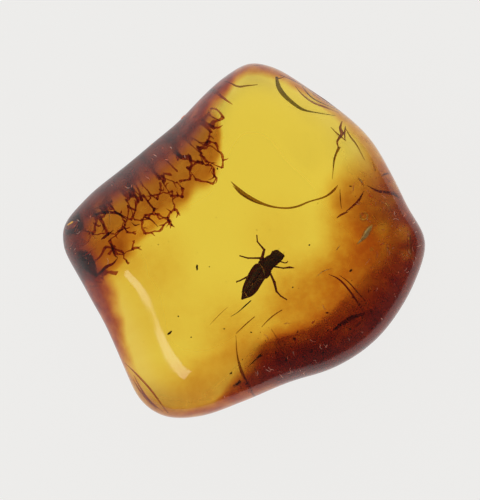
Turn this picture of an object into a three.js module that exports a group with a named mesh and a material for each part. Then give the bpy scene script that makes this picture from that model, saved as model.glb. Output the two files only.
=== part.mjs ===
/**
 * Insect in amber: one tumbled nugget of fossil resin, ground flat enough underneath to lie still.
 *
 * Units are millimetres, +Z is up and +Y is the far side of the nugget as it lies. The origin is on the
 * resting surface, below the middle of the nugget.
 *
 * The nugget is a box of grid squares whose corners are moved in or out along the line from its heart. How
 * far they go is the smallest of four limits, rounded where they meet: the outline, the polished face, the
 * underside, and a ground slope above and below the girdle that changes as it runs round the rim.
 */
import * as THREE from 'three';
import { mergeVertices } from 'three/addons/utils/BufferGeometryUtils.js';

// Heights from the girdle plane, where the outline is widest. The polished face is part of a large ball.
const FACE_RISE = 3.4;
const FACE_RADIUS = 110;
const UNDERSIDE_DROP = 6.3;
const REST_DROP = 6.1;

// The outline seen from above: bearing from +X in degrees, and how far the rim is from the heart.
const OUTLINE = [
  [0, 13.77], [12, 12.65], [25, 12.2], [38, 12.23], [50, 12.2], [66, 12.47], [80, 13.3], [88, 13.4],
  [96, 12.5], [107, 11.25], [120, 10.25], [134, 10.15], [150, 10.8], [164, 12.3], [175, 13.65], [182, 13.6],
  [190, 12.9], [210, 11.92], [228, 13.0], [238, 14.25], [246, 14.5], [256, 13.6], [270, 12.1],
  [288, 11.27], [306, 11.85], [325, 12.6], [347, 13.38],
];

// The slopes ground round the rim. Each starts on the outline, this far above or below the girdle plane,
// and reaches the face or the underside this far in from the outline.
const GRINDING = [
  { bearing: 0, above: { start: 0.9, width: 1.8 }, below: { start: 0.5, width: 4.2 } },
  { bearing: 30, above: { start: 1.0, width: 1.8 }, below: { start: 0.8, width: 3.4 } },
  { bearing: 60, above: { start: 1.0, width: 1.8 }, below: { start: 1.2, width: 1.8 } },
  { bearing: 90, above: { start: 0.8, width: 1.9 }, below: { start: 1.2, width: 2.2 } },
  { bearing: 115, above: { start: 0.4, width: 2.2 }, below: { start: 0.5, width: 4.6 } },
  { bearing: 142, above: { start: 0.3, width: 2.4 }, below: { start: 0.5, width: 5.2 } },
  { bearing: 168, above: { start: 0.4, width: 2.3 }, below: { start: 0.5, width: 5.0 } },
  { bearing: 190, above: { start: 0.8, width: 2.4 }, below: { start: 1.0, width: 2.4 } },
  { bearing: 218, above: { start: 1.6, width: 3.1 }, below: { start: 1.2, width: 1.4 } },
  { bearing: 250, above: { start: 1.1, width: 2.2 }, below: { start: 0.9, width: 2.6 } },
  { bearing: 285, above: { start: 0.8, width: 1.7 }, below: { start: 0.5, width: 4.2 } },
  { bearing: 325, above: { start: 0.8, width: 1.7 }, below: { start: 0.5, width: 4.9 } },
];

// How crisply the limits meet. A higher power gives a sharper ridge.
const RIDGE_POWER = 11;
const RIM_POWER = 8;

// A flake has sprung off the rim and left a shallow bowl: its ball's centre from the heart, and its radius.
const CHIP = { bearing: 66, reach: 14.4, rise: 5.5, radius: 4.6 };

// The grid squares, which crowd towards the rim, where the shape turns fastest.
const SQUARES_ACROSS = 34;
const SQUARES_UP = 12;
const CROWDING = 0.6;
const GRID_TURN_DEG = 42;
const GRID_HALF_WIDTH = 13;

const OUTLINE_SAMPLES = 1440;
const FULL_TURN = 360;

/** Returns the bearing of a point from +X, from 0 to 360 degrees. */
function bearingOf(x, y) {
  return THREE.MathUtils.euclideanModulo(THREE.MathUtils.radToDeg(Math.atan2(y, x)), FULL_TURN);
}

/** Returns the rim as a list of { bearing, reach }, closely spaced and in order of bearing. */
function sampleOutline() {
  const corners = OUTLINE.map(([bearing, reach]) => {
    const angle = THREE.MathUtils.degToRad(bearing);
    return new THREE.Vector3(reach * Math.cos(angle), reach * Math.sin(angle), 0);
  });
  const rim = new THREE.CatmullRomCurve3(corners, true, 'centripetal');
  return rim
    .getPoints(OUTLINE_SAMPLES)
    .map((point) => ({ bearing: bearingOf(point.x, point.y), reach: Math.hypot(point.x, point.y) }))
    .sort((a, b) => a.bearing - b.bearing);
}

/** Returns the two entries of a ring ordered by bearing that a bearing lies between, and how far along. */
function neighboursOnRing(ring, bearing) {
  const found = ring.findIndex((entry) => entry.bearing > bearing);
  const next = found === -1 ? 0 : found;
  const last = (next + ring.length - 1) % ring.length;
  const gap = THREE.MathUtils.euclideanModulo(ring[next].bearing - ring[last].bearing, FULL_TURN);
  const along = THREE.MathUtils.euclideanModulo(bearing - ring[last].bearing, FULL_TURN);
  return { last: ring[last], next: ring[next], share: gap === 0 ? 0 : along / gap };
}

/** Returns how far the rim is from the heart at a bearing. */
function reachAt(outline, bearing) {
  const { last, next, share } = neighboursOnRing(outline, bearing);
  return THREE.MathUtils.lerp(last.reach, next.reach, share);
}

/** Returns the ground slope of one side, 'above' or 'below', eased between its neighbours. */
function slopeAt(side, bearing) {
  const { last, next, share } = neighboursOnRing(GRINDING, bearing);
  const eased = THREE.MathUtils.smoothstep(share, 0, 1);
  return {
    start: THREE.MathUtils.lerp(last[side].start, next[side].start, eased),
    width: THREE.MathUtils.lerp(last[side].width, next[side].width, eased),
  };
}

/** Returns how much of a slope's limit a direction of length 1 uses. */
function slopeUse(slope, reach, limit, across, height) {
  const rise = limit - slope.start;
  const use = (across * rise + height * slope.width) / (reach * rise + slope.start * slope.width);
  return Math.max(use, 0);
}

/** Returns how much of the domed face's limit a direction of length 1 uses. */
function faceUse(height) {
  const middle = FACE_RISE - FACE_RADIUS;
  const along = middle * height;
  return 1 / (along + Math.sqrt(along ** 2 + FACE_RADIUS ** 2 - middle ** 2));
}

/** Returns how much of the ground limits a direction uses, rounded into each other at the ridges. */
function groundUse(slopes, reach, across, height) {
  const uses = [
    faceUse(height),
    Math.max(-height, 0) / UNDERSIDE_DROP,
    slopeUse(slopes.above, reach, FACE_RISE, across, height),
    slopeUse(slopes.below, reach, UNDERSIDE_DROP, across, -height),
  ];
  return uses.reduce((sum, use) => sum + use ** RIDGE_POWER, 0) ** (1 / RIDGE_POWER);
}

/** Moves a point along its line from the heart until it is on the skin of the nugget. */
function placeOnSkin(point, outline) {
  point.normalize();
  const across = Math.hypot(point.x, point.y);
  const bearing = bearingOf(point.x, point.y);
  const reach = reachAt(outline, bearing);
  const slopes = { above: slopeAt('above', bearing), below: slopeAt('below', bearing) };
  const atGirdle = groundUse(slopes, reach, 1, 0);
  const rimShare = Math.max(reach ** -RIM_POWER - atGirdle ** RIM_POWER, 0);
  const ground = groundUse(slopes, reach, across, point.z);
  const used = (across ** RIM_POWER * rimShare + ground ** RIM_POWER) ** (1 / RIM_POWER);
  return point.multiplyScalar(1 / used);
}

/** Pushes a point out of the ball that the lost flake leaves in the rim. */
function hollowChip(point) {
  const angle = THREE.MathUtils.degToRad(CHIP.bearing);
  const middle = new THREE.Vector3(CHIP.reach * Math.cos(angle), CHIP.reach * Math.sin(angle), CHIP.rise);
  const outwards = point.clone().sub(middle);
  if (outwards.length() < CHIP.radius) {
    point.copy(middle).add(outwards.setLength(CHIP.radius));
  }
  return point;
}

/** Returns a grid coordinate from -1 to 1, moved towards its nearer end. */
function crowd(share) {
  return THREE.MathUtils.lerp(share, Math.sin((share * Math.PI) / 2), CROWDING);
}

/** Returns the nugget's closed skin, resting on its ground flat with the origin below its middle. */
function nuggetGeometry() {
  const squares = [SQUARES_ACROSS, SQUARES_ACROSS, SQUARES_UP];
  const boxed = new THREE.BoxGeometry(2, 2, 2, ...squares);
  boxed.deleteAttribute('normal');
  boxed.deleteAttribute('uv');
  const geometry = mergeVertices(boxed);

  const outline = sampleOutline();
  const up = new THREE.Vector3(0, 0, 1);
  const turn = THREE.MathUtils.degToRad(GRID_TURN_DEG);
  const corners = geometry.getAttribute('position');
  const point = new THREE.Vector3();
  for (let index = 0; index < corners.count; index += 1) {
    point.fromBufferAttribute(corners, index);
    point.set(crowd(point.x) * GRID_HALF_WIDTH, crowd(point.y) * GRID_HALF_WIDTH, crowd(point.z));
    point.z *= point.z > 0 ? FACE_RISE : UNDERSIDE_DROP;
    point.applyAxisAngle(up, turn);
    placeOnSkin(point, outline);
    hollowChip(point);
    point.z = Math.max(point.z, -REST_DROP);
    corners.setXYZ(index, point.x, point.y, point.z);
  }

  geometry.computeBoundingBox();
  const middle = geometry.boundingBox.getCenter(new THREE.Vector3());
  geometry.translate(-middle.x, -middle.y, REST_DROP);
  geometry.computeVertexNormals();
  return geometry;
}

const resin = new THREE.MeshStandardMaterial({
  color: '#d8961a',
  roughness: 0.06,
  metalness: 0,
  transparent: true,
  opacity: 0.55,
});

const amber = new THREE.Mesh(nuggetGeometry(), resin);
amber.name = 'amber';

const nugget = new THREE.Group();
nugget.add(amber);

export default nugget;
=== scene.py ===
"""An insect in amber: one polished nugget of fossil resin and everything that is sealed in it.

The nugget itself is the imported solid, subdivided and hand finished. The insect, the crazing, the cracks,
the hairs and the grit are modelled inside it. Sizes are in millimetres until they meet Blender, which
works in metres. +X is right, +Y is the far side and +Z is up, with the nugget resting on Z = 0.
"""

from __future__ import annotations

import sys

import logging
import math
import random
from collections.abc import Callable, Iterable, Mapping, Sequence
from dataclasses import dataclass
from enum import Enum

import bmesh
import bpy
from mathutils import Matrix, Vector, noise
from mathutils.bvhtree import BVHTree

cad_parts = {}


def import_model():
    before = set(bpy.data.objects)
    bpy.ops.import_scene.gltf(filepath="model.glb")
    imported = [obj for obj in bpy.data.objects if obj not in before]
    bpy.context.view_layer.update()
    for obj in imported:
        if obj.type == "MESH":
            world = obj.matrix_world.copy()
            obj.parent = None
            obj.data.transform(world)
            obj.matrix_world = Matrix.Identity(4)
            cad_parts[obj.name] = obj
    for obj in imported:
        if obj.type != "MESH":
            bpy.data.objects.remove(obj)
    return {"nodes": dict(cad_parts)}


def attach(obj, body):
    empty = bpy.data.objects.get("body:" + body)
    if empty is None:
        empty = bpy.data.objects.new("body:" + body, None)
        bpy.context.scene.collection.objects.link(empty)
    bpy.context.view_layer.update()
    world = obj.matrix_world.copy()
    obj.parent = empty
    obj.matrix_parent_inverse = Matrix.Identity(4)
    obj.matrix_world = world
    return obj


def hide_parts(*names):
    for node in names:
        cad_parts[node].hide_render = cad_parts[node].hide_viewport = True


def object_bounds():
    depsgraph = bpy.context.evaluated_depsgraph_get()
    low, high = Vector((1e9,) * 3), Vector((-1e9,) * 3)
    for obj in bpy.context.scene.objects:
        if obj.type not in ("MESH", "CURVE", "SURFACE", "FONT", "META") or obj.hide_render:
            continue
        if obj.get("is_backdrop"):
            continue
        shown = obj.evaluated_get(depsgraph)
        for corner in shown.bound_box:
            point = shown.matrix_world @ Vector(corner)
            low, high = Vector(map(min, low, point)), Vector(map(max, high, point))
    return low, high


log = logging.getLogger("amber")

MM = 0.001
BODY = "root"
AMBER_NODE = "amber"
FULL_TURN = 360.0
DRAWN_AT = 9.0  # mm, the height that a curl is drawn at before it is moved to where it fits
CLEAR_SKIN = 0.25  # mm of plain resin left between the skin and anything sealed in it


Table = tuple[tuple[float, float], ...]
Points = tuple[tuple[float, float, float], ...]


# Small tools --------------------------------------------------------------------------------------------


def mm(x: float, y: float, z: float = 0.0) -> Vector:
    """Returns a point given in millimetres, in metres."""
    return Vector((x, y, z)) * MM


def lerp(low: float, high: float, share: float) -> float:
    """Returns the value a share of the way from low to high."""
    return low + (high - low) * share


def smooth(low: float, high: float, value: float) -> float:
    """Returns 0 below low and 1 above high, eased between them.

    Args:
        low: Where the rise starts. It may be the larger of the two, which gives a fall.
        high: Where the rise ends.
        value: The value to ease.

    Returns:
        A number from 0 to 1.
    """
    share = min(max((value - low) / (high - low), 0.0), 1.0)
    return share * share * (3.0 - 2.0 * share)


def linear(hex_colour: str) -> tuple[float, float, float, float]:
    """Turns an sRGB hex colour into the linear colour that shaders take.

    Args:
        hex_colour: Six hex digits, such as "D8961A".

    Returns:
        Red, green, blue and an alpha of 1.
    """
    channels = [int(hex_colour[i : i + 2], 16) / 255 for i in (0, 2, 4)]
    straight = [c / 12.92 if c <= 0.04045 else ((c + 0.055) / 1.055) ** 2.4 for c in channels]
    return (*straight, 1.0)


def add_node(
    tree: bpy.types.NodeTree,
    kind: str,
    options: Mapping[str, object] | None = None,
    values: Mapping[str | int, object] | None = None,
    links: Mapping[str | int, bpy.types.NodeSocket] | None = None,
) -> bpy.types.Node:
    """Adds a node to a tree with its settings and its links.

    Args:
        tree: The node tree that takes the node.
        kind: The node's type name, such as "ShaderNodeMix".
        options: Properties of the node itself.
        values: Numbers and colours for its input sockets, by name or index.
        links: Output sockets of other nodes to link to its inputs, by name or index.

    Returns:
        The new node.
    """
    node = tree.nodes.new(kind)
    for name, value in (options or {}).items():
        setattr(node, name, value)
    for name, value in (values or {}).items():
        node.inputs[name].default_value = value
    for name, socket in (links or {}).items():
        tree.links.new(socket, node.inputs[name])
    return node


def new_tree(name: str) -> tuple[bpy.types.Material, bpy.types.NodeTree]:
    """Makes an empty node material.

    Args:
        name: The material's name.

    Returns:
        The material and its tree.
    """
    material = bpy.data.materials.new(name)
    material.use_nodes = True
    material.node_tree.nodes.clear()
    return material, material.node_tree


def smooth_path(points: Sequence[Vector], steps: int = 6) -> list[Vector]:
    """Runs a rounded line through points.

    Args:
        points: The points that the line passes through.
        steps: How many short straight stretches replace each gap.

    Returns:
        The points of the rounded line.
    """
    padded = [points[0] * 2 - points[1], *points, points[-1] * 2 - points[-2]]
    path = []
    for before, start, end, after in zip(padded, padded[1:], padded[2:], padded[3:]):
        for step in range(steps):
            t = step / steps
            path.append(
                0.5
                * (
                    2 * start
                    + (end - before) * t
                    + (2 * before - 5 * start + 4 * end - after) * t**2
                    + (3 * start - before - 3 * end + after) * t**3
                )
            )
    return [*path, points[-1]]


def spread_values(values: Sequence[float], count: int) -> list[float]:
    """Stretches a short list of values over more places, in straight steps between them.

    Args:
        values: One or more values.
        count: How many places to fill.

    Returns:
        A list of that many values.
    """
    if len(values) == 1:
        return [values[0]] * count
    spread = []
    for place in range(count):
        along = place / (count - 1) * (len(values) - 1)
        last = min(int(along), len(values) - 2)
        spread.append(lerp(values[last], values[last + 1], along - last))
    return spread


def section(centre: Vector, heading: Vector, half_width: float, half_height: float) -> Matrix:
    """Returns the matrix that lays a unit circle across a heading as one section of a loft.

    Args:
        centre: The section's middle.
        heading: The way the loft runs there.
        half_width: Half the section's size sideways.
        half_height: Half its size towards +Z.

    Returns:
        A 4 by 4 matrix.
    """
    along = heading.normalized()
    up = Vector((0, 0, 1)) if abs(along.z) < 0.95 else Vector((0, 1, 0))
    side = up.cross(along).normalized()
    rise = along.cross(side)
    turn = Matrix((side, rise, along)).transposed().to_4x4()
    return Matrix.Translation(centre) @ turn @ Matrix.Diagonal((half_width, half_height, half_width, 1))


def add_loft(work: bmesh.types.BMesh, sections: Sequence[Matrix], sides: int) -> None:
    """Adds a closed skin through a row of sections, each extruded from the one before it.

    Args:
        work: The mesh being built.
        sections: Matrices that lay a unit circle in place, none with a size of zero.
        sides: How many sides the circle has.
    """
    ring = bmesh.ops.create_circle(work, cap_ends=True, segments=sides, radius=1.0, matrix=sections[0])
    edges = list({edge for vert in ring["verts"] for edge in vert.link_edges})
    for last, following in zip(sections, sections[1:]):
        grown = bmesh.ops.extrude_edge_only(work, edges=edges)["geom"]
        verts = {item for item in grown if isinstance(item, bmesh.types.BMVert)}
        edges = [e for e in grown if isinstance(e, bmesh.types.BMEdge) and set(e.verts) <= verts]
        bmesh.ops.transform(work, matrix=following @ last.inverted(), verts=list(verts))
    bmesh.ops.contextual_create(work, geom=edges)


def add_tube(
    work: bmesh.types.BMesh,
    path: Sequence[Vector],
    radii: Sequence[float],
    sides: int = 8,
    flatness: float = 1.0,
) -> None:
    """Adds a closed tube along a path.

    Args:
        work: The mesh being built.
        path: The points it follows, in metres.
        radii: Its radius from end to end, in millimetres, spread evenly over the path.
        sides: How many sides it has.
        flatness: Its height as a share of its width.
    """
    widths = spread_values(radii, len(path))
    ends = [path[0], *path, path[-1]]
    sections = []
    for index, (centre, width) in enumerate(zip(path, widths)):
        heading = ends[index + 2] - ends[index]
        sections.append(section(centre, heading, width * MM, width * MM * flatness))
    add_loft(work, sections, sides)


def add_ball(
    work: bmesh.types.BMesh,
    centre: Vector,
    half_size: Vector,
    turn: Matrix | None = None,
    segments: int = 16,
) -> list[bmesh.types.BMVert]:
    """Adds a ball stretched to a size.

    Args:
        work: The mesh being built.
        centre: Its middle, in metres.
        half_size: Half its size each way, in metres.
        turn: A rotation about its middle.
        segments: How many segments it has round its waist.

    Returns:
        Its vertices.
    """
    place = Matrix.Translation(centre) @ (turn or Matrix.Identity(4)) @ Matrix.Diagonal((*half_size, 1))
    ball = bmesh.ops.create_uvsphere(
        work, u_segments=segments, v_segments=max(segments * 3 // 4, 4), radius=1.0, matrix=place
    )
    return ball["verts"]


def settle(name: str, work: bmesh.types.BMesh, finish: "Finish") -> bpy.types.Object:
    """Turns mesh work into a smooth finished piece that rides on the nugget.

    Args:
        name: The piece's name.
        work: Its mesh, which is used up.
        finish: What it is made of.

    Returns:
        The piece, with its object at the origin.
    """
    bmesh.ops.recalc_face_normals(work, faces=work.faces)
    mesh = bpy.data.meshes.new(name)
    work.to_mesh(mesh)
    work.free()
    mesh.shade_smooth()
    mesh.materials.append(finish.material())
    piece = bpy.data.objects.new(name, mesh)
    bpy.context.scene.collection.objects.link(piece)
    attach(piece, BODY)
    log.info("%s: %d faces", name, len(mesh.polygons))
    return piece


# Finishes -----------------------------------------------------------------------------------------------


@dataclass(frozen=True)
class Finish:
    """What a piece is made of and how its surface was made."""

    name: str

    def material(self) -> bpy.types.Material:
        """Returns the finish as a Blender material, made the first time that it is asked for."""
        return bpy.data.materials.get(self.name) or self.make()

    def make(self) -> bpy.types.Material:
        """Builds the material. Each finish says how."""
        raise NotImplementedError


@dataclass(frozen=True)
class PolishedAmber(Finish):
    """Baltic amber, tumbled and polished on felt: clear honey resin under a thin weathered crust.

    The depth of colour is the resin's own absorption, so thick places and long paths inside it turn from
    lemon to orange to a deep red-brown. The crust only tints what passes through the surface. Its tint
    deepens as a power of how weathered the surface is, as light does through more and more of a dye.
    """

    absorbed: str = "FEF23A"
    density: float = 295.0
    refraction: float = 1.54
    dye: str = "7E1E01"
    mottle_mm: float = 0.8
    mottling: float = 0.22
    grain_mm: float = 0.3
    pit_mm: float = 0.05
    pitting: float = 0.3

    def make(self) -> bpy.types.Material:
        """Builds the resin. How weathered and how matt it is are painted on the mesh as attributes.

        Returns:
            A clear material that tints at its skin and absorbs light inside.
        """
        material, tree = new_tree(self.name)
        place = add_node(tree, "ShaderNodeTexCoord").outputs["Object"]
        weathered, matt = (
            add_node(tree, "ShaderNodeAttribute", {"attribute_name": key}).outputs["Fac"]
            for key in ("weathered", "matt")
        )
        mottle, grain = (
            add_node(
                tree,
                "ShaderNodeTexNoise",
                values={"Scale": 1 / (size * MM), "Detail": 5.0, "Roughness": 0.6},
                links={"Vector": place},
            ).outputs["Fac"]
            for size in (self.mottle_mm, self.grain_mm)
        )
        uneven = add_node(
            tree,
            "ShaderNodeMapRange",
            values={
                "From Min": 0.3,
                "From Max": 0.7,
                "To Min": 1 - self.mottling,
                "To Max": 1 + self.mottling,
            },
            links={"Value": mottle},
        ).outputs[0]
        depth = add_node(
            tree, "ShaderNodeMath", {"operation": "MULTIPLY"}, links={0: weathered, 1: uneven}
        ).outputs[0]
        tint = add_node(tree, "ShaderNodeCombineColor")
        for index, channel in enumerate(linear(self.dye)[:3]):
            share = add_node(
                tree, "ShaderNodeMath", {"operation": "POWER"}, values={0: channel}, links={1: depth}
            )
            tree.links.new(share.outputs[0], tint.inputs[index])
        pitted = add_node(
            tree, "ShaderNodeMath", {"operation": "MULTIPLY"}, links={0: grain, 1: weathered}
        ).outputs[0]
        bump = add_node(
            tree,
            "ShaderNodeBump",
            values={"Strength": self.pitting, "Distance": self.pit_mm * MM},
            links={"Height": pitted},
        )
        surface = add_node(
            tree,
            "ShaderNodeBsdfPrincipled",
            values={"IOR": self.refraction, "Transmission Weight": 1.0},
            links={"Base Color": tint.outputs[0], "Roughness": matt, "Normal": bump.outputs[0]},
        )
        resin = add_node(
            tree,
            "ShaderNodeVolumeAbsorption",
            values={"Color": linear(self.absorbed), "Density": self.density},
        )
        add_node(
            tree,
            "ShaderNodeOutputMaterial",
            links={"Surface": surface.outputs[0], "Volume": resin.outputs[0]},
        )
        return material


@dataclass(frozen=True)
class Film(Finish):
    """A tinted film in a crack. Some are stains; others are painted shade: the chip's ridge lines and rim, and
    shadowed crack edges. It lies between two faces of the same resin, so it tints but never bends.

    Its tube is hollow to light, which crosses the film once on the way in and once on the way out.
    """

    tint: str

    def make(self) -> bpy.types.Material:
        """Builds the film, with the refraction of nothing at all.

        Returns:
            A clear tinted material.
        """
        material, tree = new_tree(self.name)
        surface = add_node(
            tree,
            "ShaderNodeBsdfPrincipled",
            values={
                "Base Color": linear(self.tint),
                "Roughness": 0.0,
                "IOR": 1.0,
                "Transmission Weight": 1.0,
            },
        )
        add_node(tree, "ShaderNodeOutputMaterial", links={"Surface": surface.outputs[0]})
        return material


@dataclass(frozen=True)
class TwoTone(Finish):
    """A finish that is patchy between a dark and a light colour."""

    dark: str
    light: str
    patch_mm: float = 0.2

    def patches(
        self,
        tree: bpy.types.NodeTree,
        place: bpy.types.NodeSocket,
        detail: float,
        ends: tuple[float, float],
    ) -> bpy.types.NodeSocket:
        """Draws the patches.

        Args:
            tree: The material's tree.
            place: The socket that says where on the piece a point is.
            detail: How many finer sizes of patch lie over the first.
            ends: How strong the noise is where the dark colour ends and where the light one begins.

        Returns:
            The socket that gives the colour.
        """
        noise_node = add_node(
            tree,
            "ShaderNodeTexNoise",
            values={"Scale": 1 / (self.patch_mm * MM), "Detail": detail},
            links={"Vector": place},
        )
        ramp = add_node(tree, "ShaderNodeValToRGB", links={"Fac": noise_node.outputs["Fac"]})
        for element, position, colour in zip(ramp.color_ramp.elements, ends, (self.dark, self.light)):
            element.position = position
            element.color = linear(colour)
        return ramp.outputs[0]


@dataclass(frozen=True)
class AirFilm(TwoTone):
    """A split with gas in it. Its walls turn all light back, so it shines like a scrap of foil."""

    shine: float = 0.75
    roughness: float = 0.35

    def make(self) -> bpy.types.Material:
        """Builds the split, patchy where its walls touch.

        Returns:
            A partly metallic material, which stands in for light that is turned back inside the resin.
        """
        material, tree = new_tree(self.name)
        place = add_node(tree, "ShaderNodeTexCoord").outputs["Object"]
        surface = add_node(
            tree,
            "ShaderNodeBsdfPrincipled",
            values={"Roughness": self.roughness, "Metallic": self.shine},
            links={"Base Color": self.patches(tree, place, 3.0, (0.4, 0.6))},
        )
        add_node(tree, "ShaderNodeOutputMaterial", links={"Surface": surface.outputs[0]})
        return material


@dataclass(frozen=True)
class Chitin(TwoTone):
    """Insect cuticle or plant hair, stained by the resin: mottled, dimpled, with a dull waxy gloss."""

    patch_mm: float = 0.25
    roughness: float = 0.45
    dimple_mm: float = 0.05
    dimple_depth_mm: float = 0.01
    dimpling: float = 0.3

    def make(self) -> bpy.types.Material:
        """Builds the cuticle, mottled in patches and dimpled between them.

        Returns:
            An opaque material.
        """
        material, tree = new_tree(self.name)
        place = add_node(tree, "ShaderNodeTexCoord").outputs["Object"]
        dimples = add_node(
            tree,
            "ShaderNodeTexVoronoi",
            values={"Scale": 1 / (self.dimple_mm * MM)},
            links={"Vector": place},
        )
        bump = add_node(
            tree,
            "ShaderNodeBump",
            values={"Strength": self.dimpling, "Distance": self.dimple_depth_mm * MM},
            links={"Height": dimples.outputs["Distance"]},
        )
        surface = add_node(
            tree,
            "ShaderNodeBsdfPrincipled",
            values={"Roughness": self.roughness},
            links={
                "Base Color": self.patches(tree, place, 4.0, (0.35, 0.7)),
                "Normal": bump.outputs[0],
            },
        )
        add_node(tree, "ShaderNodeOutputMaterial", links={"Surface": surface.outputs[0]})
        return material


@dataclass(frozen=True)
class Stage(Finish):
    """Opal acrylic lit from below, as on a light table: the same pale white glow all over."""

    glow: str = "FFFEFC"
    strength: float = 0.81
    white: str = "606060"

    def make(self) -> bpy.types.Material:
        """Builds the lit panel.

        Returns:
            A matt white material that also glows evenly.
        """
        material, tree = new_tree(self.name)
        lit = add_node(
            tree,
            "ShaderNodeEmission",
            values={"Color": linear(self.glow), "Strength": self.strength},
        )
        matt = add_node(tree, "ShaderNodeBsdfDiffuse", values={"Color": linear(self.white)})
        both = add_node(tree, "ShaderNodeAddShader", links={0: lit.outputs[0], 1: matt.outputs[0]})
        add_node(tree, "ShaderNodeOutputMaterial", links={"Surface": both.outputs[0]})
        return material


AMBER = PolishedAmber("baltic_amber_felt_polished")
CUTICLE = Chitin("cuticle_near_black", dark="2A0A05", light="4C180C")
WING_CASE = Chitin("wing_case_leathery", dark="340D07", light="5C1E12", roughness=0.35)
LEG_CUTICLE = Chitin("leg_cuticle_red_brown", dark="6A1E06", light="9A3A10", roughness=0.4)
EYE = Chitin("compound_eye", dark="2A0608", light="4A0E14", roughness=0.25, dimple_mm=0.03)
PALE_SEAM = Chitin("pale_suture", dark="D8B080", light="FFF0D0", roughness=0.5)


class Tone(Enum):
    """What a crack, a hair or a speck looks like against the resin."""

    DARK = Chitin("plant_hair_dark", dark="2A1206", light="3E1C0A")
    RUST = Film("healed_crack_rust", tint="7A2608")
    CRAZE = Film("shrinkage_crack_brown", tint="B06A54")
    PURPLE_BROWN_AND_RIM_SHADE = Film("purple_brown_film_and_rim_shade", tint="8A5654")
    # Purple-brown film: in the fissures, and painted shade along the chip's rim.
    PITCH = Film("charred_pocket", tint="6A2010")
    UMBER = Film("shadowed_crack_umber", tint="94701E")
    # Painted shade of the ridge lines round the chip.
    CHIP_SHADE = Film("chip_shadow_olive", tint="7E7426")
    # The pale and golden films also paint glints, and the golden one paints the bubbles' rings of light.
    PALE = AirFilm("pale_air_film_and_glints", dark="F0BC58", light="FFE4A0")
    GOLD = AirFilm("golden_air_film_and_glints", dark="F0A030", light="FFD870")
    GLINT = AirFilm("air_film_rosy", dark="FF9470", light="FFE0CC")


# The nugget ---------------------------------------------------------------------------------------------


def bearing_of(point: Vector) -> float:
    """Returns a point's bearing from +X, from 0 to 360 degrees."""
    return math.degrees(math.atan2(point.y, point.x)) % FULL_TURN


def bearing_past_x(point: Vector) -> float:
    """Returns a point's bearing from +X, from 180 to 540 degrees, so that it runs on where +X is passed."""
    bearing = bearing_of(point)
    return bearing if bearing > FULL_TURN / 2 else bearing + FULL_TURN


@dataclass
class Rim:
    """How far the nugget's outline is from its middle at each bearing."""

    reaches: list[float]

    @classmethod
    def of(cls, points: Iterable[Vector], bins: int = 180) -> "Rim":
        """Measures the outline of a cloud of points.

        Args:
            points: Points on the nugget's skin, in metres.
            bins: How many bearings to keep.

        Returns:
            The rim, in millimetres.
        """
        reaches = [0.0] * bins
        for point in points:
            index = int(bearing_of(point) / FULL_TURN * bins) % bins
            reaches[index] = max(reaches[index], point.xy.length / MM)
        return cls(reaches)

    def inset(self, point: Vector) -> float:
        """Measures how far inside the outline a point is.

        Args:
            point: Any point. Its height doesn't count.

        Returns:
            The distance in millimetres, less than 0 outside the outline.
        """
        bins = len(self.reaches)
        along = (bearing_of(point) / FULL_TURN * bins - 0.5) % bins
        last = int(along) % bins
        reach = lerp(self.reaches[last], self.reaches[(last + 1) % bins], along - int(along))
        return reach - point.xy.length / MM


def round_the_rim(table: Sequence[tuple[float, float]], bearing: float) -> float:
    """Reads a value that changes round the rim, eased between the bearings of a table.

    Args:
        table: Bearing and value, in order of bearing.
        bearing: Where to read it, in degrees.

    Returns:
        The value there.
    """
    for (start, low), (end, high) in zip(table, [*table[1:], (table[0][0] + FULL_TURN, table[0][1])]):
        turned = bearing if bearing >= start else bearing + FULL_TURN
        if start <= turned <= end:
            return lerp(low, high, smooth(start, end, turned))
    return table[0][1]


@dataclass(frozen=True)
class Cloud:
    """A soft-edged patch of stained resin, in millimetres."""

    x: float
    y: float
    radius: float
    strength: float

    def at(self, point: Vector) -> float:
        """Returns how strong the patch is at a point."""
        away = math.hypot(point.x / MM - self.x, point.y / MM - self.y)
        return self.strength * smooth(self.radius, 0.0, away)


@dataclass(frozen=True)
class Stretch:
    """A stretch of the rim that fades out at its ends, in degrees, and inwards, in millimetres."""

    rise: tuple[float, float]
    fall: tuple[float, float]
    inset: tuple[float, float]
    strength: float = 1.0

    def at(self, bearing: float, inset: float) -> float:
        """Returns how strong the stretch is at a bearing and an inset."""
        ends = smooth(*self.rise, bearing) * smooth(*self.fall, bearing)
        return self.strength * ends * smooth(*self.inset, inset)


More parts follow.
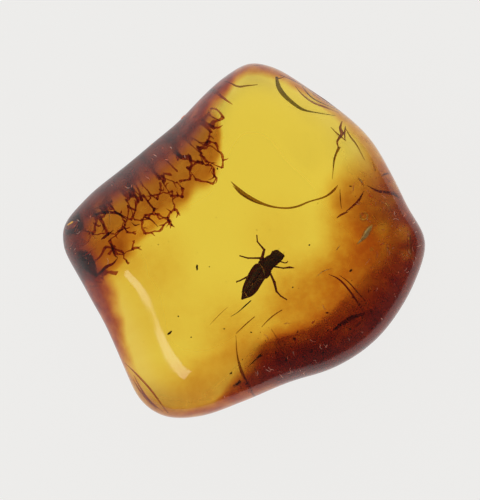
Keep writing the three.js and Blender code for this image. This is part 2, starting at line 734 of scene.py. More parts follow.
@dataclass
class Nugget:
    """The piece of amber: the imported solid, subdivided, hand finished and painted with its weathering.

    A pair such as stained_below gives the heights, or insets, where a change starts and where it is
    complete, in millimetres.
    """

    solid: bpy.types.Object
    levels: int = 2
    wave_mm: float = 4.5
    wave_height_mm: float = 0.035
    wave_heights: tuple[float, float] = (0.05, 1.0)
    crust_width: Table = (
        (0.0, 3.1),
        (30.0, 1.6),
        (60.0, 1.1),
        (88.0, 1.4),
        (100.0, 2.3),
        (142.0, 3.1),
        (175.0, 2.8),
        (188.0, 3.0),
        (200.0, 2.7),
        (210.0, 2.0),
        (222.0, 1.4),
        (250.0, 1.2),
        (258.0, 1.3),
        (268.0, 3.2),
        (290.0, 4.7),
        (325.0, 4.9),
        (345.0, 4.2),
    )
    crust_depth: Table = (
        (0.0, 0.8),
        (30.0, 0.45),
        (60.0, 0.7),
        (88.0, 0.95),
        (100.0, 2.0),
        (112.0, 1.9),
        (124.0, 1.15),
        (178.0, 1.2),
        (188.0, 1.7),
        (200.0, 1.6),
        (212.0, 1.15),
        (235.0, 0.4),
        (246.0, 0.7),
        (258.0, 1.0),
        (275.0, 1.2),
        (290.0, 1.35),
        (330.0, 1.15),
    )
    crust_fade: tuple[float, float] = (1.0, 0.2)
    crust_patch_mm: float = 0.9
    crust_patchiness: float = 0.5
    # Painted glow: how much the crust's dye is thinned at the very edge, by bearing.
    edge_glow: Table = (
        (0.0, 0.45),
        (40.0, 0.3),
        (95.0, 0.1),
        (120.0, 0.0),
        (200.0, 0.0),
        (240.0, 0.3),
        (300.0, 0.5),
    )
    edge_glow_inset: tuple[float, float] = (1.2, 0.2)
    clouds: tuple[Cloud, ...] = (
        Cloud(10.2, 1.8, 5.4, 0.92),
        Cloud(9.0, -3.0, 5.2, 0.72),
        Cloud(4.8, -4.8, 5.0, 0.48),
        Cloud(0.4, -8.2, 5.0, 0.22),
        Cloud(2.4, -9.4, 3.2, 0.42),
        Cloud(-3.6, -11.0, 3.6, 0.22),
        Cloud(-7.0, -8.8, 4.6, 0.06),
        Cloud(-6.4, -1.4, 3.6, 0.1),
        Cloud(-9.4, -1.0, 2.8, 0.18),
        Cloud(-1.6, -6.2, 5.0, 0.07),
        Cloud(-6.6, -4.4, 4.4, 0.08),
        Cloud(2.6, 0.4, 4.0, 0.06),
    )
    windows: tuple[Cloud, ...] = (
        Cloud(11.6, 0.5, 1.0, 0.8),
        Cloud(11.8, -1.1, 0.8, 0.7),
        Cloud(10.6, 2.9, 0.8, 0.5),
        Cloud(10.0, 0.9, 0.7, 0.4),
        Cloud(11.0, 4.0, 0.7, 0.45),
        Cloud(7.6, -6.4, 0.9, 0.4),
        Cloud(9.0, -6.8, 0.6, 0.35),
        Cloud(-12.2, 0.9, 0.6, 0.6),
    )
    crazed_width: Table = (
        (94.0, 2.0),
        (106.0, 4.8),
        (134.0, 4.9),
        (158.0, 6.0),
        (172.0, 6.9),
        (184.0, 5.2),
        (196.0, 2.0),
    )
    crazed_rise: tuple[float, float] = (95.0, 101.0)
    crazed_fall: tuple[float, float] = (196.0, 190.0)
    crazed_fade: tuple[float, float] = (0.5, -0.7)
    ragged_mm: float = 0.7
    ragged_patch_mm: float = 1.5
    crazing_stain: float = 0.45
    stained_below: tuple[float, float] = (6.1, 4.5)
    stain_patch_mm: float = 2.6
    stain_patchiness: float = 0.25
    ground_matt: Table = (
        (0.0, 0.5),
        (25.0, 0.9),
        (55.0, 0.9),
        (75.0, 0.4),
        (90.0, 0.5),
        (105.0, 0.95),
        (180.0, 0.95),
        (200.0, 0.3),
        (235.0, 0.3),
        (252.0, 0.95),
        (268.0, 0.8),
        (285.0, 0.14),
        (325.0, 0.16),
        (345.0, 0.4),
    )
    ground_inset: tuple[float, float] = (6.0, 4.4)
    ground_below: tuple[float, float] = (6.3, 5.2)
    worn_rims: tuple[Stretch, ...] = (
        Stretch((104.0, 116.0), (200.0, 186.0), (2.3, 1.4)),
        Stretch((262.0, 285.0), (400.0, 380.0), (2.4, 1.4), 0.7),
        Stretch((200.0, 212.0), (250.0, 238.0), (5.2, 3.4), 0.35),
    )
    worn_matt: float = 0.22
    underside_matt: float = 0.08
    polished_matt: float = 0.02

    def __post_init__(self) -> None:
        """Builds the skin straight away, because all that is sealed in the nugget is fitted to it."""
        self.mesh = self.subdivided()
        self.rim = Rim.of(vertex.co for vertex in self.mesh.vertices)
        self.polish()
        self.skin = BVHTree.FromPolygons(
            [vertex.co.copy() for vertex in self.mesh.vertices],
            [list(face.vertices) for face in self.mesh.polygons],
        )

    def subdivided(self) -> bpy.types.Mesh:
        """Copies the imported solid, joins its triangles and rounds it by subdivision.

        Returns:
            The smooth mesh.
        """
        work = bmesh.new()
        work.from_mesh(self.solid.data)
        bmesh.ops.remove_doubles(work, verts=work.verts, dist=0.001 * MM)
        bmesh.ops.join_triangles(
            work, faces=work.faces, angle_face_threshold=math.pi, angle_shape_threshold=math.pi
        )
        rough = bpy.data.meshes.new("rough_nugget")
        work.to_mesh(rough)
        work.free()
        holder = bpy.data.objects.new("rough_nugget", rough)
        bpy.context.scene.collection.objects.link(holder)
        subdivision = holder.modifiers.new("round", "SUBSURF")
        subdivision.levels = subdivision.render_levels = self.levels
        evaluated = holder.evaluated_get(bpy.context.evaluated_depsgraph_get())
        mesh = bpy.data.meshes.new_from_object(evaluated)
        bpy.data.objects.remove(holder)
        bpy.data.meshes.remove(rough)
        return mesh

    def polish(self) -> None:
        """Gives the skin the slow waves that hand polishing leaves, but not the flat it rests on.

        The normals are copied first, because moving a vertex would change those of its neighbours.
        """
        normals = [vertex.normal.copy() for vertex in self.mesh.vertices]
        for vertex, normal in zip(self.mesh.vertices, normals):
            height = noise.noise(vertex.co / (self.wave_mm * MM)) * self.wave_height_mm * MM
            vertex.co += normal * height * smooth(*self.wave_heights, vertex.co.z / MM)

    def under(self, x: float, y: float) -> Vector | None:
        """Returns the point of the underside below a place in millimetres, or None outside the nugget."""
        return self.skin.ray_cast(mm(x, y, -5.0), Vector((0, 0, 1)))[0]

    def over(self, x: float, y: float) -> Vector | None:
        """Returns the point of the upper skin above a place in millimetres, or None outside the nugget."""
        return self.skin.ray_cast(mm(x, y, 30.0), Vector((0, 0, -1)))[0]

    def crust_at(self, point: Vector) -> float:
        """Works out how weathered the rim is, less a painted glow at its very edge.

        Args:
            point: A point of the skin.

        Returns:
            The depth of the crust's dye, from 0 at its inner edge.
        """
        bearing = bearing_of(point)
        inset = self.rim.inset(point)
        depth = round_the_rim(self.crust_depth, bearing)
        # The dye thins towards the very edge: a painted glow where light comes through the rim.
        depth *= 1 - round_the_rim(self.edge_glow, bearing) * smooth(*self.edge_glow_inset, inset)
        depth *= 1 + self.crust_patchiness * noise.noise(point / (self.crust_patch_mm * MM))
        return depth * smooth(*self.crust_fade, inset / round_the_rim(self.crust_width, bearing))

    def crazing_at(self, point: Vector) -> float:
        """Works out how crazed the underside is.

        Args:
            point: Any point. Its height doesn't count.

        Returns:
            A number from 0 to 1.
        """
        bearing = bearing_of(point)
        ends = smooth(*self.crazed_rise, bearing) * smooth(*self.crazed_fall, bearing)
        ragged = self.ragged_mm * noise.noise(point.xy.to_3d() / (self.ragged_patch_mm * MM))
        width = round_the_rim(self.crazed_width, bearing) + ragged
        outer, inner = self.crazed_fade
        return ends * smooth(width + outer, width + inner, self.rim.inset(point))

    def weathered_at(self, point: Vector) -> float:
        """Works out how deep the dye of weathering is: the crust, the stains and the crazing.

        Args:
            point: A point of the skin.

        Returns:
            The depth, never less than 0.
        """
        below = smooth(*self.stained_below, point.z / MM)
        patchy = 1.0 + self.stain_patchiness * noise.noise(point / (self.stain_patch_mm * MM))
        stains = sum(cloud.at(point) for cloud in self.clouds) * patchy
        cleared = sum(window.at(point) for window in self.windows)
        deep = self.crust_at(point) + below * (stains + self.crazing_stain * self.crazing_at(point))
        return max(deep - cleared, 0.0)

    def matt_at(self, point: Vector) -> float:
        """Works out how matt the skin is: the polished face, the worn rims and the ground underside.

        Args:
            point: A point of the skin.

        Returns:
            The roughness there.
        """
        below = smooth(*self.ground_below, point.z / MM)
        bearing = bearing_of(point)
        inset = self.rim.inset(point)
        worn = self.worn_matt * sum(rim.at(bearing, inset) for rim in self.worn_rims)
        ground = smooth(*self.ground_inset, inset) * round_the_rim(self.ground_matt, bearing)
        return self.polished_matt + (1 - below) * worn + below * max(ground, self.underside_matt)

    def paint(self, layers: Mapping[str, Callable[[Vector], float]]) -> None:
        """Writes one attribute for each layer.

        Args:
            layers: What gives each layer's strength at a point, by the layer's name.
        """
        for name, strength in layers.items():
            attribute = self.mesh.attributes.new(name, "FLOAT", "POINT")
            attribute.data.foreach_set("value", [strength(vertex.co) for vertex in self.mesh.vertices])

    def build(self) -> bpy.types.Object:
        """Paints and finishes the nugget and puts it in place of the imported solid.

        Returns:
            The finished piece.
        """
        self.paint({"weathered": self.weathered_at, "matt": self.matt_at})
        self.mesh.name = "nugget"
        self.mesh.shade_smooth()
        self.mesh.materials.clear()
        self.mesh.materials.append(AMBER.material())
        piece = bpy.data.objects.new("nugget", self.mesh)
        bpy.context.scene.collection.objects.link(piece)
        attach(piece, BODY)
        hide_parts(AMBER_NODE)
        log.info("nugget: %d faces", len(self.mesh.polygons))
        return piece


@dataclass
class Crazing:
    """The net of shrinkage cracks that weathering has opened in the underside, seen through the resin.

    Lengths are in millimetres. How crazed a place is runs from 0 to 1, and crooks are the size and the
    amount of each sway in a crack's line.
    """

    nugget: Nugget
    cell_radius: float = 0.84
    wander: float = 0.32
    least_crazed: float = 0.6
    inner_crazed: float = 0.75
    missing: float = 0.12
    inner_missing: float = 0.5
    outer_inset: float = 1.7
    least_inset: float = 0.6
    lift: float = 0.35
    flatness: float = 1.6
    half_width: tuple[float, float] = (0.05, 0.12)
    loose_end: float = 0.015
    crook_every: float = 0.16
    crooks: Table = ((0.5, 0.2), (0.12, 0.07))
    thorn_chance: float = 0.55
    thorn_length: tuple[float, float] = (0.25, 0.5)
    spurred: tuple[float, float] = (0.05, 0.85)
    spur_chance: float = 0.6
    spur_length: tuple[float, float] = (0.3, 0.6)
    tip_length: tuple[float, float] = (0.2, 0.6)
    seed: int = 7

    def lay_honeycomb(self) -> bmesh.types.BMesh:
        """Lays a honeycomb of cells over the crazed part and joins them where they touch.

        Returns:
            The net, flat.
        """
        work = bmesh.new()
        across = self.cell_radius * math.sqrt(3)
        reach = int(max(self.nugget.rim.reaches) / across) + 1
        for row in range(-reach, reach + 1):
            for column in range(-reach, reach + 1):
                spot = mm((column + row % 2 / 2) * across, row * self.cell_radius * 1.5)
                inset = self.nugget.rim.inset(spot)
                if self.nugget.crazing_at(spot) < self.least_crazed or inset < self.outer_inset:
                    continue
                place = Matrix.Translation(spot) @ Matrix.Rotation(math.radians(30), 4, "Z")
                bmesh.ops.create_circle(
                    work, cap_ends=False, segments=6, radius=self.cell_radius * MM, matrix=place
                )
        bmesh.ops.remove_doubles(work, verts=work.verts, dist=0.1 * self.cell_radius * MM)
        return work

    def over_the_slope(self, points: Sequence[Vector]) -> list[Vector] | None:
        """Lays points just above the underside.

        Args:
            points: Points in plan.

        Returns:
            The points in place, or None where one is outside the nugget.
        """
        laid = []
        for point in points:
            foot = self.nugget.under(point.x / MM, point.y / MM)
            if foot is None or self.nugget.rim.inset(point) < self.least_inset:
                return None
            laid.append(foot + mm(0, 0, self.lift))
        return laid

    def crack(self, work: bmesh.types.BMesh, start: Vector, end: Vector, widths: Sequence[float]) -> None:
        """Adds one crooked crack from start to end.

        Args:
            work: The mesh being built.
            start: One end, in plan.
            end: The other end, in plan.
            widths: Its half widths along the way, in millimetres.
        """
        count = max(int((end - start).length / (self.crook_every * MM)), 3)
        points = []
        for step in range(count + 1):
            point = start.lerp(end, step / count)
            loose = math.sin(math.pi * step / count)
            sways = (noise.noise_vector(point / (size * MM)) * amount for size, amount in self.crooks)
            sway = sum(sways, Vector())
            points.append(point + Vector((sway.x, sway.y, 0)) * loose * MM)
        laid = self.over_the_slope(points)
        if laid is not None:
            add_tube(work, laid, widths, sides=6, flatness=self.flatness)

    def build(self) -> bpy.types.Object:
        """Builds the cracks round the cells and the spurs that run on into the clear resin.

        Returns:
            The finished piece.
        """
        rng = random.Random(self.seed)
        net = self.lay_honeycomb()
        for vertex in net.verts:
            vertex.co += mm(rng.uniform(-1, 1), rng.uniform(-1, 1)) * self.wander
        net.edges.ensure_lookup_table()
        work = bmesh.new()
        for edge in net.edges:
            inner = all(self.nugget.crazing_at(vertex.co) < self.inner_crazed for vertex in edge.verts)
            if rng.random() < (self.inner_missing if inner else self.missing):
                continue
            thick = rng.uniform(*self.half_width)
            ends = [self.loose_end if len(vertex.link_edges) == 1 else thick * 1.2 for vertex in edge.verts]
            start, end = (vertex.co.copy() for vertex in edge.verts)
            self.crack(work, start, end, (ends[0], thick * 0.6, thick * 0.75, ends[1]))
            if rng.random() < self.thorn_chance:
                root = start.lerp(end, rng.uniform(0.3, 0.7))
                thorn = Matrix.Rotation(rng.uniform(0, math.tau), 3, "Z") @ Vector((1, 0, 0))
                tip = root + thorn * rng.uniform(*self.thorn_length) * MM
                self.crack(work, root, tip, (thick * 0.8, 0.05, 0.01))
        for vertex in net.verts:
            least, most = self.spurred
            if least < self.nugget.crazing_at(vertex.co) < most and rng.random() < self.spur_chance:
                self.spur(work, vertex.co.copy(), rng)
        net.free()
        return settle("crazing", work, Tone.CRAZE.value)

    def spur(self, work: bmesh.types.BMesh, root: Vector, rng: random.Random) -> None:
        """Adds a crack that runs in towards the middle and forks.

        Args:
            work: The mesh being built.
            root: Where it leaves the net.
            rng: Where its chances come from.
        """
        inwards = Matrix.Rotation(rng.uniform(-0.7, 0.7), 3, "Z") @ -root.normalized()
        fork = root + inwards * rng.uniform(*self.spur_length) * MM
        tip = fork + inwards * rng.uniform(*self.tip_length) * MM
        self.crack(work, root, fork, (0.12, 0.1))
        self.crack(work, fork, tip, (0.1, 0.06, 0.01))
        twig = Matrix.Rotation(rng.choice((-1, 1)) * rng.uniform(0.7, 1.3), 3, "Z") @ inwards
        twig_end = fork + twig * rng.uniform(*self.spur_length) * MM
        self.crack(work, fork, twig_end, (0.08, 0.05, 0.01))


# What else is sealed in the resin -------------------------------------------------------------------------


@dataclass(frozen=True)
class Streak:
    """A crack edge, a hair or a film, drawn as a thin flattened tube."""

    tone: Tone
    width: tuple[float, ...]
    points: Points
    flatness: float = 1.0


@dataclass
class Streaks:
    """All the fine lines in the resin, joined into one piece for each tone."""

    nugget: Nugget
    lines: tuple[Streak, ...]
    steps: int = 5

    def path(self, streak: Streak) -> list[Vector]:
        """Rounds a streak's path and keeps it inside the nugget.

        Args:
            streak: The line to follow.

        Returns:
            The points of its path, in metres.
        """
        path = smooth_path([mm(*point) for point in streak.points], self.steps)
        for point in path:
            roof = self.nugget.over(point.x / MM, point.y / MM)
            floor = self.nugget.under(point.x / MM, point.y / MM)
            if roof is not None and floor is not None:
                point.z = min(point.z, roof.z - CLEAR_SKIN * MM)
                point.z = max(point.z, floor.z + CLEAR_SKIN * MM)
        return path

    def build(self) -> list[bpy.types.Object]:
        """Builds the lines.

        Returns:
            One piece for each tone that is used.
        """
        pieces = []
        for tone in Tone:
            chosen = [streak for streak in self.lines if streak.tone is tone]
            if not chosen:
                continue
            work = bmesh.new()
            for streak in chosen:
                halves = [width / 2 for width in streak.width]
                add_tube(work, self.path(streak), halves, sides=8, flatness=streak.flatness)
            pieces.append(settle(f"streaks_{tone.name.lower()}", work, tone.value))
        return pieces


BIG_ARC = (
    Streak(
        Tone.UMBER,
        (0.03, 0.26, 0.3, 0.2, 0.12, 0.14, 0.14, 0.1, 0.14, 0.18, 0.03),
        (
            (-0.92, 4.31, 5.4),
            (-0.23, 3.62, 5.3),
            (0.53, 3.09, 5.2),
            (1.76, 2.55, 5.2),
            (2.99, 2.36, 5.2),
            (3.9, 2.48, 5.2),
            (4.74, 2.82, 5.3),
            (5.89, 3.17, 5.4),
            (6.5, 3.62, 5.5),
            (6.81, 4.01, 5.6),
        ),
    ),
    Streak(
        Tone.UMBER,
        (0.03, 0.14, 0.12, 0.03),
        ((-0.8, 4.0, 5.6), (-0.2, 3.4, 5.6), (0.6, 2.9, 5.6), (1.3, 2.6, 5.6)),
    ),
)
TOP_MARKS = (
    Streak(
        Tone.UMBER,
        (0.03, 0.14, 0.1, 0.04),
        ((-1.34, 11.59, 7.6), (-0.41, 11.05, 7.6), (0.26, 11.1, 7.6), (1.01, 11.18, 7.6)),
    ),
    Streak(
        Tone.CRAZE,
        (0.06, 0.34, 0.2, 0.03),
        ((-1.95, 10.44, 5.0), (-1.4, 10.2, 5.0), (-0.65, 9.75, 5.0)),
    ),
    Streak(Tone.CRAZE, (0.03, 0.16, 0.03), ((-2.25, 8.3, 4.8), (-1.79, 8.1, 4.8), (-1.41, 8.3, 4.8))),
    Streak(
        Tone.CRAZE,
        (0.03, 0.16, 0.12, 0.04),
        ((-3.25, 6.77, 4.6), (-2.72, 6.61, 4.6), (-2.33, 6.84, 4.6), (-1.64, 6.3, 4.6)),
    ),
)
# The chip's relief is painted: painted shade along its ridges as olive and umber films, and a painted
# highlight along its edge as a pale foil streak.
CHIP_SHADE_AND_HIGHLIGHT = (
    Streak(
        Tone.CHIP_SHADE,
        (0.2, 0.32, 0.34, 0.26, 0.2, 0.1, 0.06, 0.04),
        (
            (2.36, 11.81, 8.0),
            (2.51, 11.05, 8.2),
            (2.99, 10.36, 8.3),
            (3.9, 9.6, 8.3),
            (4.59, 9.3, 8.3),
            (5.89, 9.1, 8.3),
            (6.64, 9.0, 8.1),
        ),
    ),
    Streak(Tone.UMBER, (0.08, 0.1, 0.06), ((2.3, 11.8, 8.2), (2.55, 11.7, 8.3), (2.9, 11.85, 8.3))),
    # Painted highlight along the chip's edge.
    Streak(
        Tone.PALE,
        (0.03, 0.14, 0.18, 0.16, 0.05),
        ((3.7, 11.2, 9.0), (4.2, 10.55, 9.0), (5.0, 9.95, 9.0), (6.0, 9.6, 9.0), (6.8, 9.3, 9.0)),
    ),
    Streak(
        Tone.CHIP_SHADE,
        (0.04, 0.16, 0.16, 0.12, 0.04),
        ((4.21, 11.28, 8.6), (4.59, 10.67, 8.6), (5.12, 10.2, 8.6), (5.96, 9.83, 8.6), (6.89, 9.53, 8.6)),
    ),
    Streak(
        Tone.CHIP_SHADE,
        (0.03, 0.08, 0.06, 0.03),
        ((4.7, 11.1, 8.6), (5.1, 10.6, 8.6), (5.8, 10.15, 8.6), (6.6, 9.8, 8.6)),
    ),
)
# Painted shade along the chip's rim: a purple-brown film just under the skin.
CHIP_RIM_SHADE = (
    Streak(
        Tone.PURPLE_BROWN_AND_RIM_SHADE,
        (0.06, 0.18, 0.16, 0.2, 0.12),
        ((2.6, 12.0, 9.4), (3.6, 11.65, 9.4), (4.67, 11.1, 9.4), (5.9, 10.3, 9.4), (7.1, 9.45, 9.4)),
    ),
)
FISSURES = (
    Streak(
        Tone.PURPLE_BROWN_AND_RIM_SHADE,
        (0.08, 0.2, 0.26, 0.14, 0.06),
        ((7.1, 8.6, 8.0), (6.9, 8.05, 7.8), (7.0, 7.6, 7.6), (6.7, 7.1, 7.4), (6.8, 6.6, 7.2)),
        0.5,
    ),
    Streak(Tone.PURPLE_BROWN_AND_RIM_SHADE, (0.04, 0.15, 0.06), ((7.28, 8.2, 7.6), (7.18, 7.7, 7.5), (7.22, 7.2, 7.4)), 0.5),
    Streak(Tone.PURPLE_BROWN_AND_RIM_SHADE, (0.03, 0.08, 0.03), ((6.75, 6.7, 7.2), (6.5, 5.9, 7.1), (6.45, 5.2, 7.0)), 0.4),
    Streak(Tone.UMBER, (0.03, 0.1, 0.05), ((6.2, 8.1, 7.6), (6.7, 7.6, 7.5), (7.3, 7.1, 7.4))),
    Streak(
        Tone.UMBER,
        (0.03, 0.1, 0.08, 0.03),
        ((7.19, 8.06, 7.5), (7.6, 7.35, 7.4), (8.03, 6.77, 7.3), (8.57, 5.7, 7.0)),
    ),
    Streak(
        Tone.UMBER,
        (0.16, 0.14, 0.1, 0.03),
        ((6.86, 6.68, 6.4), (6.6, 6.1, 6.2), (6.49, 5.5, 6.0), (6.41, 4.43, 6.0)),
    ),
    Streak(Tone.UMBER, (0.03, 0.08, 0.04), ((6.96, 3.71, 5.6), (7.0, 3.0, 5.4), (7.08, 2.33, 5.2))),
    Streak(
        Tone.PURPLE_BROWN_AND_RIM_SHADE,
        (0.05, 0.18, 0.16, 0.05),
        ((8.6, 3.5, 5.0), (8.3, 2.9, 4.9), (7.9, 2.5, 4.8), (7.4, 2.1, 4.8)),
        0.5,
    ),
    Streak(
        Tone.PURPLE_BROWN_AND_RIM_SHADE,
        (0.04, 0.16, 0.14, 0.04),
        ((7.6, 2.1, 4.8), (7.1, 1.9, 4.8), (6.75, 1.65, 4.8)),
        0.5,
    ),
    Streak(
        Tone.PURPLE_BROWN_AND_RIM_SHADE,
        (0.03, 0.12, 0.12, 0.03),
        ((8.8, 3.9, 5.4), (9.4, 3.5, 5.4), (10.1, 3.1, 5.4), (10.5, 2.6, 5.4)),
        0.5,
    ),
    Streak(
        Tone.RUST,
        (0.03, 0.14, 0.12, 0.04),
        ((6.17, -2.43, 5.2), (6.89, -2.78, 5.2), (7.54, -3.45, 5.2), (8.18, -4.35, 5.1), (8.66, -5.1, 5.0)),
    ),
    Streak(
        Tone.RUST,
        (0.03, 0.08, 0.08, 0.04),
        ((6.96, -2.51, 5.2), (7.61, -3.0, 5.2), (8.25, -3.73, 5.1), (8.81, -4.35, 5.0)),
    ),
    Streak(
        Tone.UMBER,
        (0.03, 0.1, 0.24, 0.1),
        ((-0.56, -6.86, 5.0), (-0.47, -8.22, 4.8), (-0.2, -9.3, 4.6), (0.17, -9.95, 4.6)),
    ),
    Streak(
        Tone.PURPLE_BROWN_AND_RIM_SHADE,
        (0.06, 0.24, 0.3, 0.16),
        ((6.2, -6.6, 5.6), (7.0, -6.0, 5.6), (7.8, -5.5, 5.6), (8.7, -5.2, 5.6)),
        0.4,
    ),
)
HAIRS = (
    Streak(
        Tone.DARK,
        (0.08, 0.1, 0.05, 0.03),
        ((0.53, -4.31, 6.0), (0.1, -4.7, 5.9), (-0.4, -5.15, 5.9), (-0.92, -5.48, 5.8)),
    ),
    Streak(Tone.UMBER, (0.06, 0.09, 0.04), ((0.8, -5.49, 5.6), (0.15, -6.05, 5.6), (-0.56, -6.72, 5.6))),
    Streak(
        Tone.UMBER,
        (0.06, 0.1, 0.04),
        ((2.81, -5.0, 5.8), (2.25, -5.35, 5.7), (1.72, -5.8, 5.6), (1.3, -6.25, 5.6)),
    ),
    Streak(Tone.UMBER, (0.03, 0.05, 0.02), ((1.99, -6.38, 5.5), (2.35, -6.95, 5.4), (2.63, -7.58, 5.4))),
    Streak(Tone.UMBER, (0.02, 0.04, 0.02), ((-1.16, -4.8, 5.5), (-1.8, -5.4, 5.4), (-2.44, -6.08, 5.4))),
    Streak(Tone.DARK, (0.2, 0.1, 0.06, 0.02), ((1.26, -8.18, 5.6), (0.85, -8.5, 5.6), (0.26, -9.0, 5.5))),
    Streak(Tone.DARK, (0.14, 0.12, 0.05), ((-0.34, -9.86, 5.0), (-0.6, -10.05, 5.0), (-0.94, -10.2, 5.0))),
)
FLAKES = (
    Streak(
        Tone.PALE,
        (0.04, 0.4, 0.5, 0.24, 0.03),
        ((9.26, 1.16, 9.0), (8.95, 0.75, 9.0), (8.6, 0.2, 9.0), (8.11, -0.28, 9.0)),
        0.25,
    ),
    Streak(Tone.GOLD, (0.05, 0.12, 0.05), ((10.19, 2.74, 9.0), (10.4, 2.4, 9.0), (10.69, 2.03, 9.0)), 0.5),
    Streak(Tone.GOLD, (0.05, 0.2, 0.05), ((8.2, 4.5, 9.0), (8.45, 4.25, 9.0), (8.6, 3.9, 9.0)), 0.4),
    Streak(Tone.PALE, (0.04, 0.08, 0.04), ((9.25, 5.7, 9.0), (9.4, 5.3, 9.0), (9.5, 5.0, 9.0)), 0.5),
    Streak(
        Tone.GOLD,
        (0.03, 0.07, 0.03),
        ((9.19, 1.88, 8.0), (9.62, 1.3, 8.0), (10.19, 1.16, 8.0), (10.48, 1.52, 8.0)),
    ),
    Streak(Tone.PALE, (0.02, 0.08, 0.02), ((6.6, -0.75, 9.0), (6.75, -0.55, 9.0), (6.89, -0.35, 9.0)), 0.5),
    Streak(Tone.PALE, (0.02, 0.06, 0.02), ((5.2, -2.6, 9.0), (5.7, -2.2, 9.0), (6.3, -2.0, 9.0)), 0.4),
    Streak(
        Tone.GLINT,
        (0.02, 0.06, 0.05, 0.02),
        ((10.31, -0.35, 8.4), (10.39, -1.43, 8.4), (10.69, -2.51, 8.4), (10.61, -3.08, 8.4)),
    ),
    Streak(
        Tone.GOLD,
        (0.1, 0.3, 0.34, 0.1),
        ((11.69, 0.7, 7.0), (11.85, 0.1, 7.0), (11.9, -0.7, 7.0), (11.84, -1.43, 7.0)),
        0.4,
    ),
    Streak(
        Tone.GOLD,
        (0.06, 0.4, 0.34, 0.06),
        ((7.72, -6.3, 7.0), (8.0, -6.05, 7.0), (8.3, -5.85, 7.0), (8.54, -5.68, 7.0)),
        0.4,
    ),
)
CORNER_MARKS = (
    Streak(
        Tone.GOLD,
        (0.1, 0.5, 0.6, 0.2),
        ((-13.0, 0.85, 9.0), (-12.7, 1.0, 9.0), (-12.35, 1.15, 9.0), (-12.0, 1.35, 9.0)),
        0.3,
    ),
    Streak(
        Tone.PITCH,
        (0.2, 0.9, 0.9, 0.3),
        ((-12.5, 0.5, 6.0), (-12.0, 0.8, 6.0), (-11.7, 1.1, 6.0), (-11.5, 1.5, 6.0)),
        0.5,
    ),
    Streak(
        Tone.PITCH,
        (0.2, 0.8, 0.7, 0.1),
        ((-11.6, -0.5, 6.0), (-11.2, -1.0, 6.0), (-10.8, -1.6, 6.0), (-10.24, -2.31, 6.0)),
        0.5,
    ),
    Streak(
        Tone.GLINT,
        (0.04, 0.12, 0.1, 0.03),
        ((-11.89, -0.45, 8.0), (-11.3, -0.2, 8.0), (-11.0, 0.3, 8.0), (-11.01, 0.9, 8.0)),
    ),
    Streak(Tone.GLINT, (0.03, 0.12, 0.03), ((-11.6, -1.1, 8.0), (-11.1, -0.85, 8.0), (-10.6, -0.5, 8.0))),
    Streak(Tone.PALE, (0.02, 0.05, 0.02), ((-9.75, 2.4, 9.0), (-9.6, 1.8, 9.0), (-9.68, 0.9, 9.0))),
    Streak(
        Tone.RUST,
        (0.04, 0.16, 0.16, 0.04),
        ((-10.79, 1.43, 5.2), (-10.02, 1.81, 5.2), (-9.04, 1.88, 5.2), (-8.38, 1.43, 5.2)),
    ),
    Streak(
        Tone.RUST,
        (0.03, 0.2, 0.14, 0.03),
        ((-10.24, 0.11, 5.0), (-9.9, 0.35, 5.0), (-9.36, 0.77, 5.0)),
    ),
    Streak(
        Tone.RUST,
        (0.03, 0.16, 0.12, 0.03),
        ((-9.53, -0.11, 5.0), (-9.4, -0.6, 5.0), (-9.26, -0.98, 5.0), (-9.04, -1.16, 5.0)),
    ),
    Streak(
        Tone.RUST,
        (0.1, 0.24, 0.16, 0.03),
        ((-10.24, -2.21, 5.0), (-9.8, -1.75, 5.0), (-9.36, -1.55, 5.0), (-9.04, -1.16, 5.0)),
    ),
    Streak(Tone.RUST, (0.03, 0.12, 0.03), ((-8.1, 1.3, 5.0), (-7.84, 1.1, 5.0), (-7.5, 1.2, 5.0))),
    Streak(
        Tone.RUST,
        (0.03, 0.16, 0.1, 0.03),
        ((-7.3, 1.7, 5.0), (-6.9, 1.6, 5.0), (-6.62, 1.43, 5.0), (-6.19, 0.98, 5.0)),
    ),
)
BEVEL_MARKS = (
    Streak(
        Tone.CRAZE,
        (0.05, 0.16, 0.16, 0.06),
        ((-8.6, -8.9, 9.0), (-7.6, -9.8, 9.0), (-6.6, -10.9, 9.0), (-5.5, -12.5, 9.0)),
        0.5,
    ),
    Streak(
        Tone.CRAZE,
        (0.04, 0.16, 0.14, 0.04),
        ((-7.94, -9.79, 7.4), (-7.3, -10.9, 7.4), (-6.6, -11.8, 7.4), (-5.84, -12.43, 7.4)),
        0.5,
    ),
    Streak(
        Tone.GOLD,
        (0.05, 0.2, 0.24, 0.05),
        ((-8.0, -10.1, 9.0), (-7.5, -10.9, 9.0), (-6.9, -11.6, 9.0), (-6.3, -12.2, 9.0)),
        0.4,
    ),
)
LINES = (*BIG_ARC, *TOP_MARKS, *CHIP_SHADE_AND_HIGHLIGHT, *CHIP_RIM_SHADE, *FISSURES, *HAIRS, *FLAKES, *CORNER_MARKS, *BEVEL_MARKS)


@dataclass(frozen=True)
class Speck:
    """A crumb of bark, soil or insect dirt, in millimetres. Two specks are painted glints instead."""

    x: float
    y: float
    z: float
    long: float
    wide: float
    bearing: float = 0.0
    tone: Tone = Tone.DARK


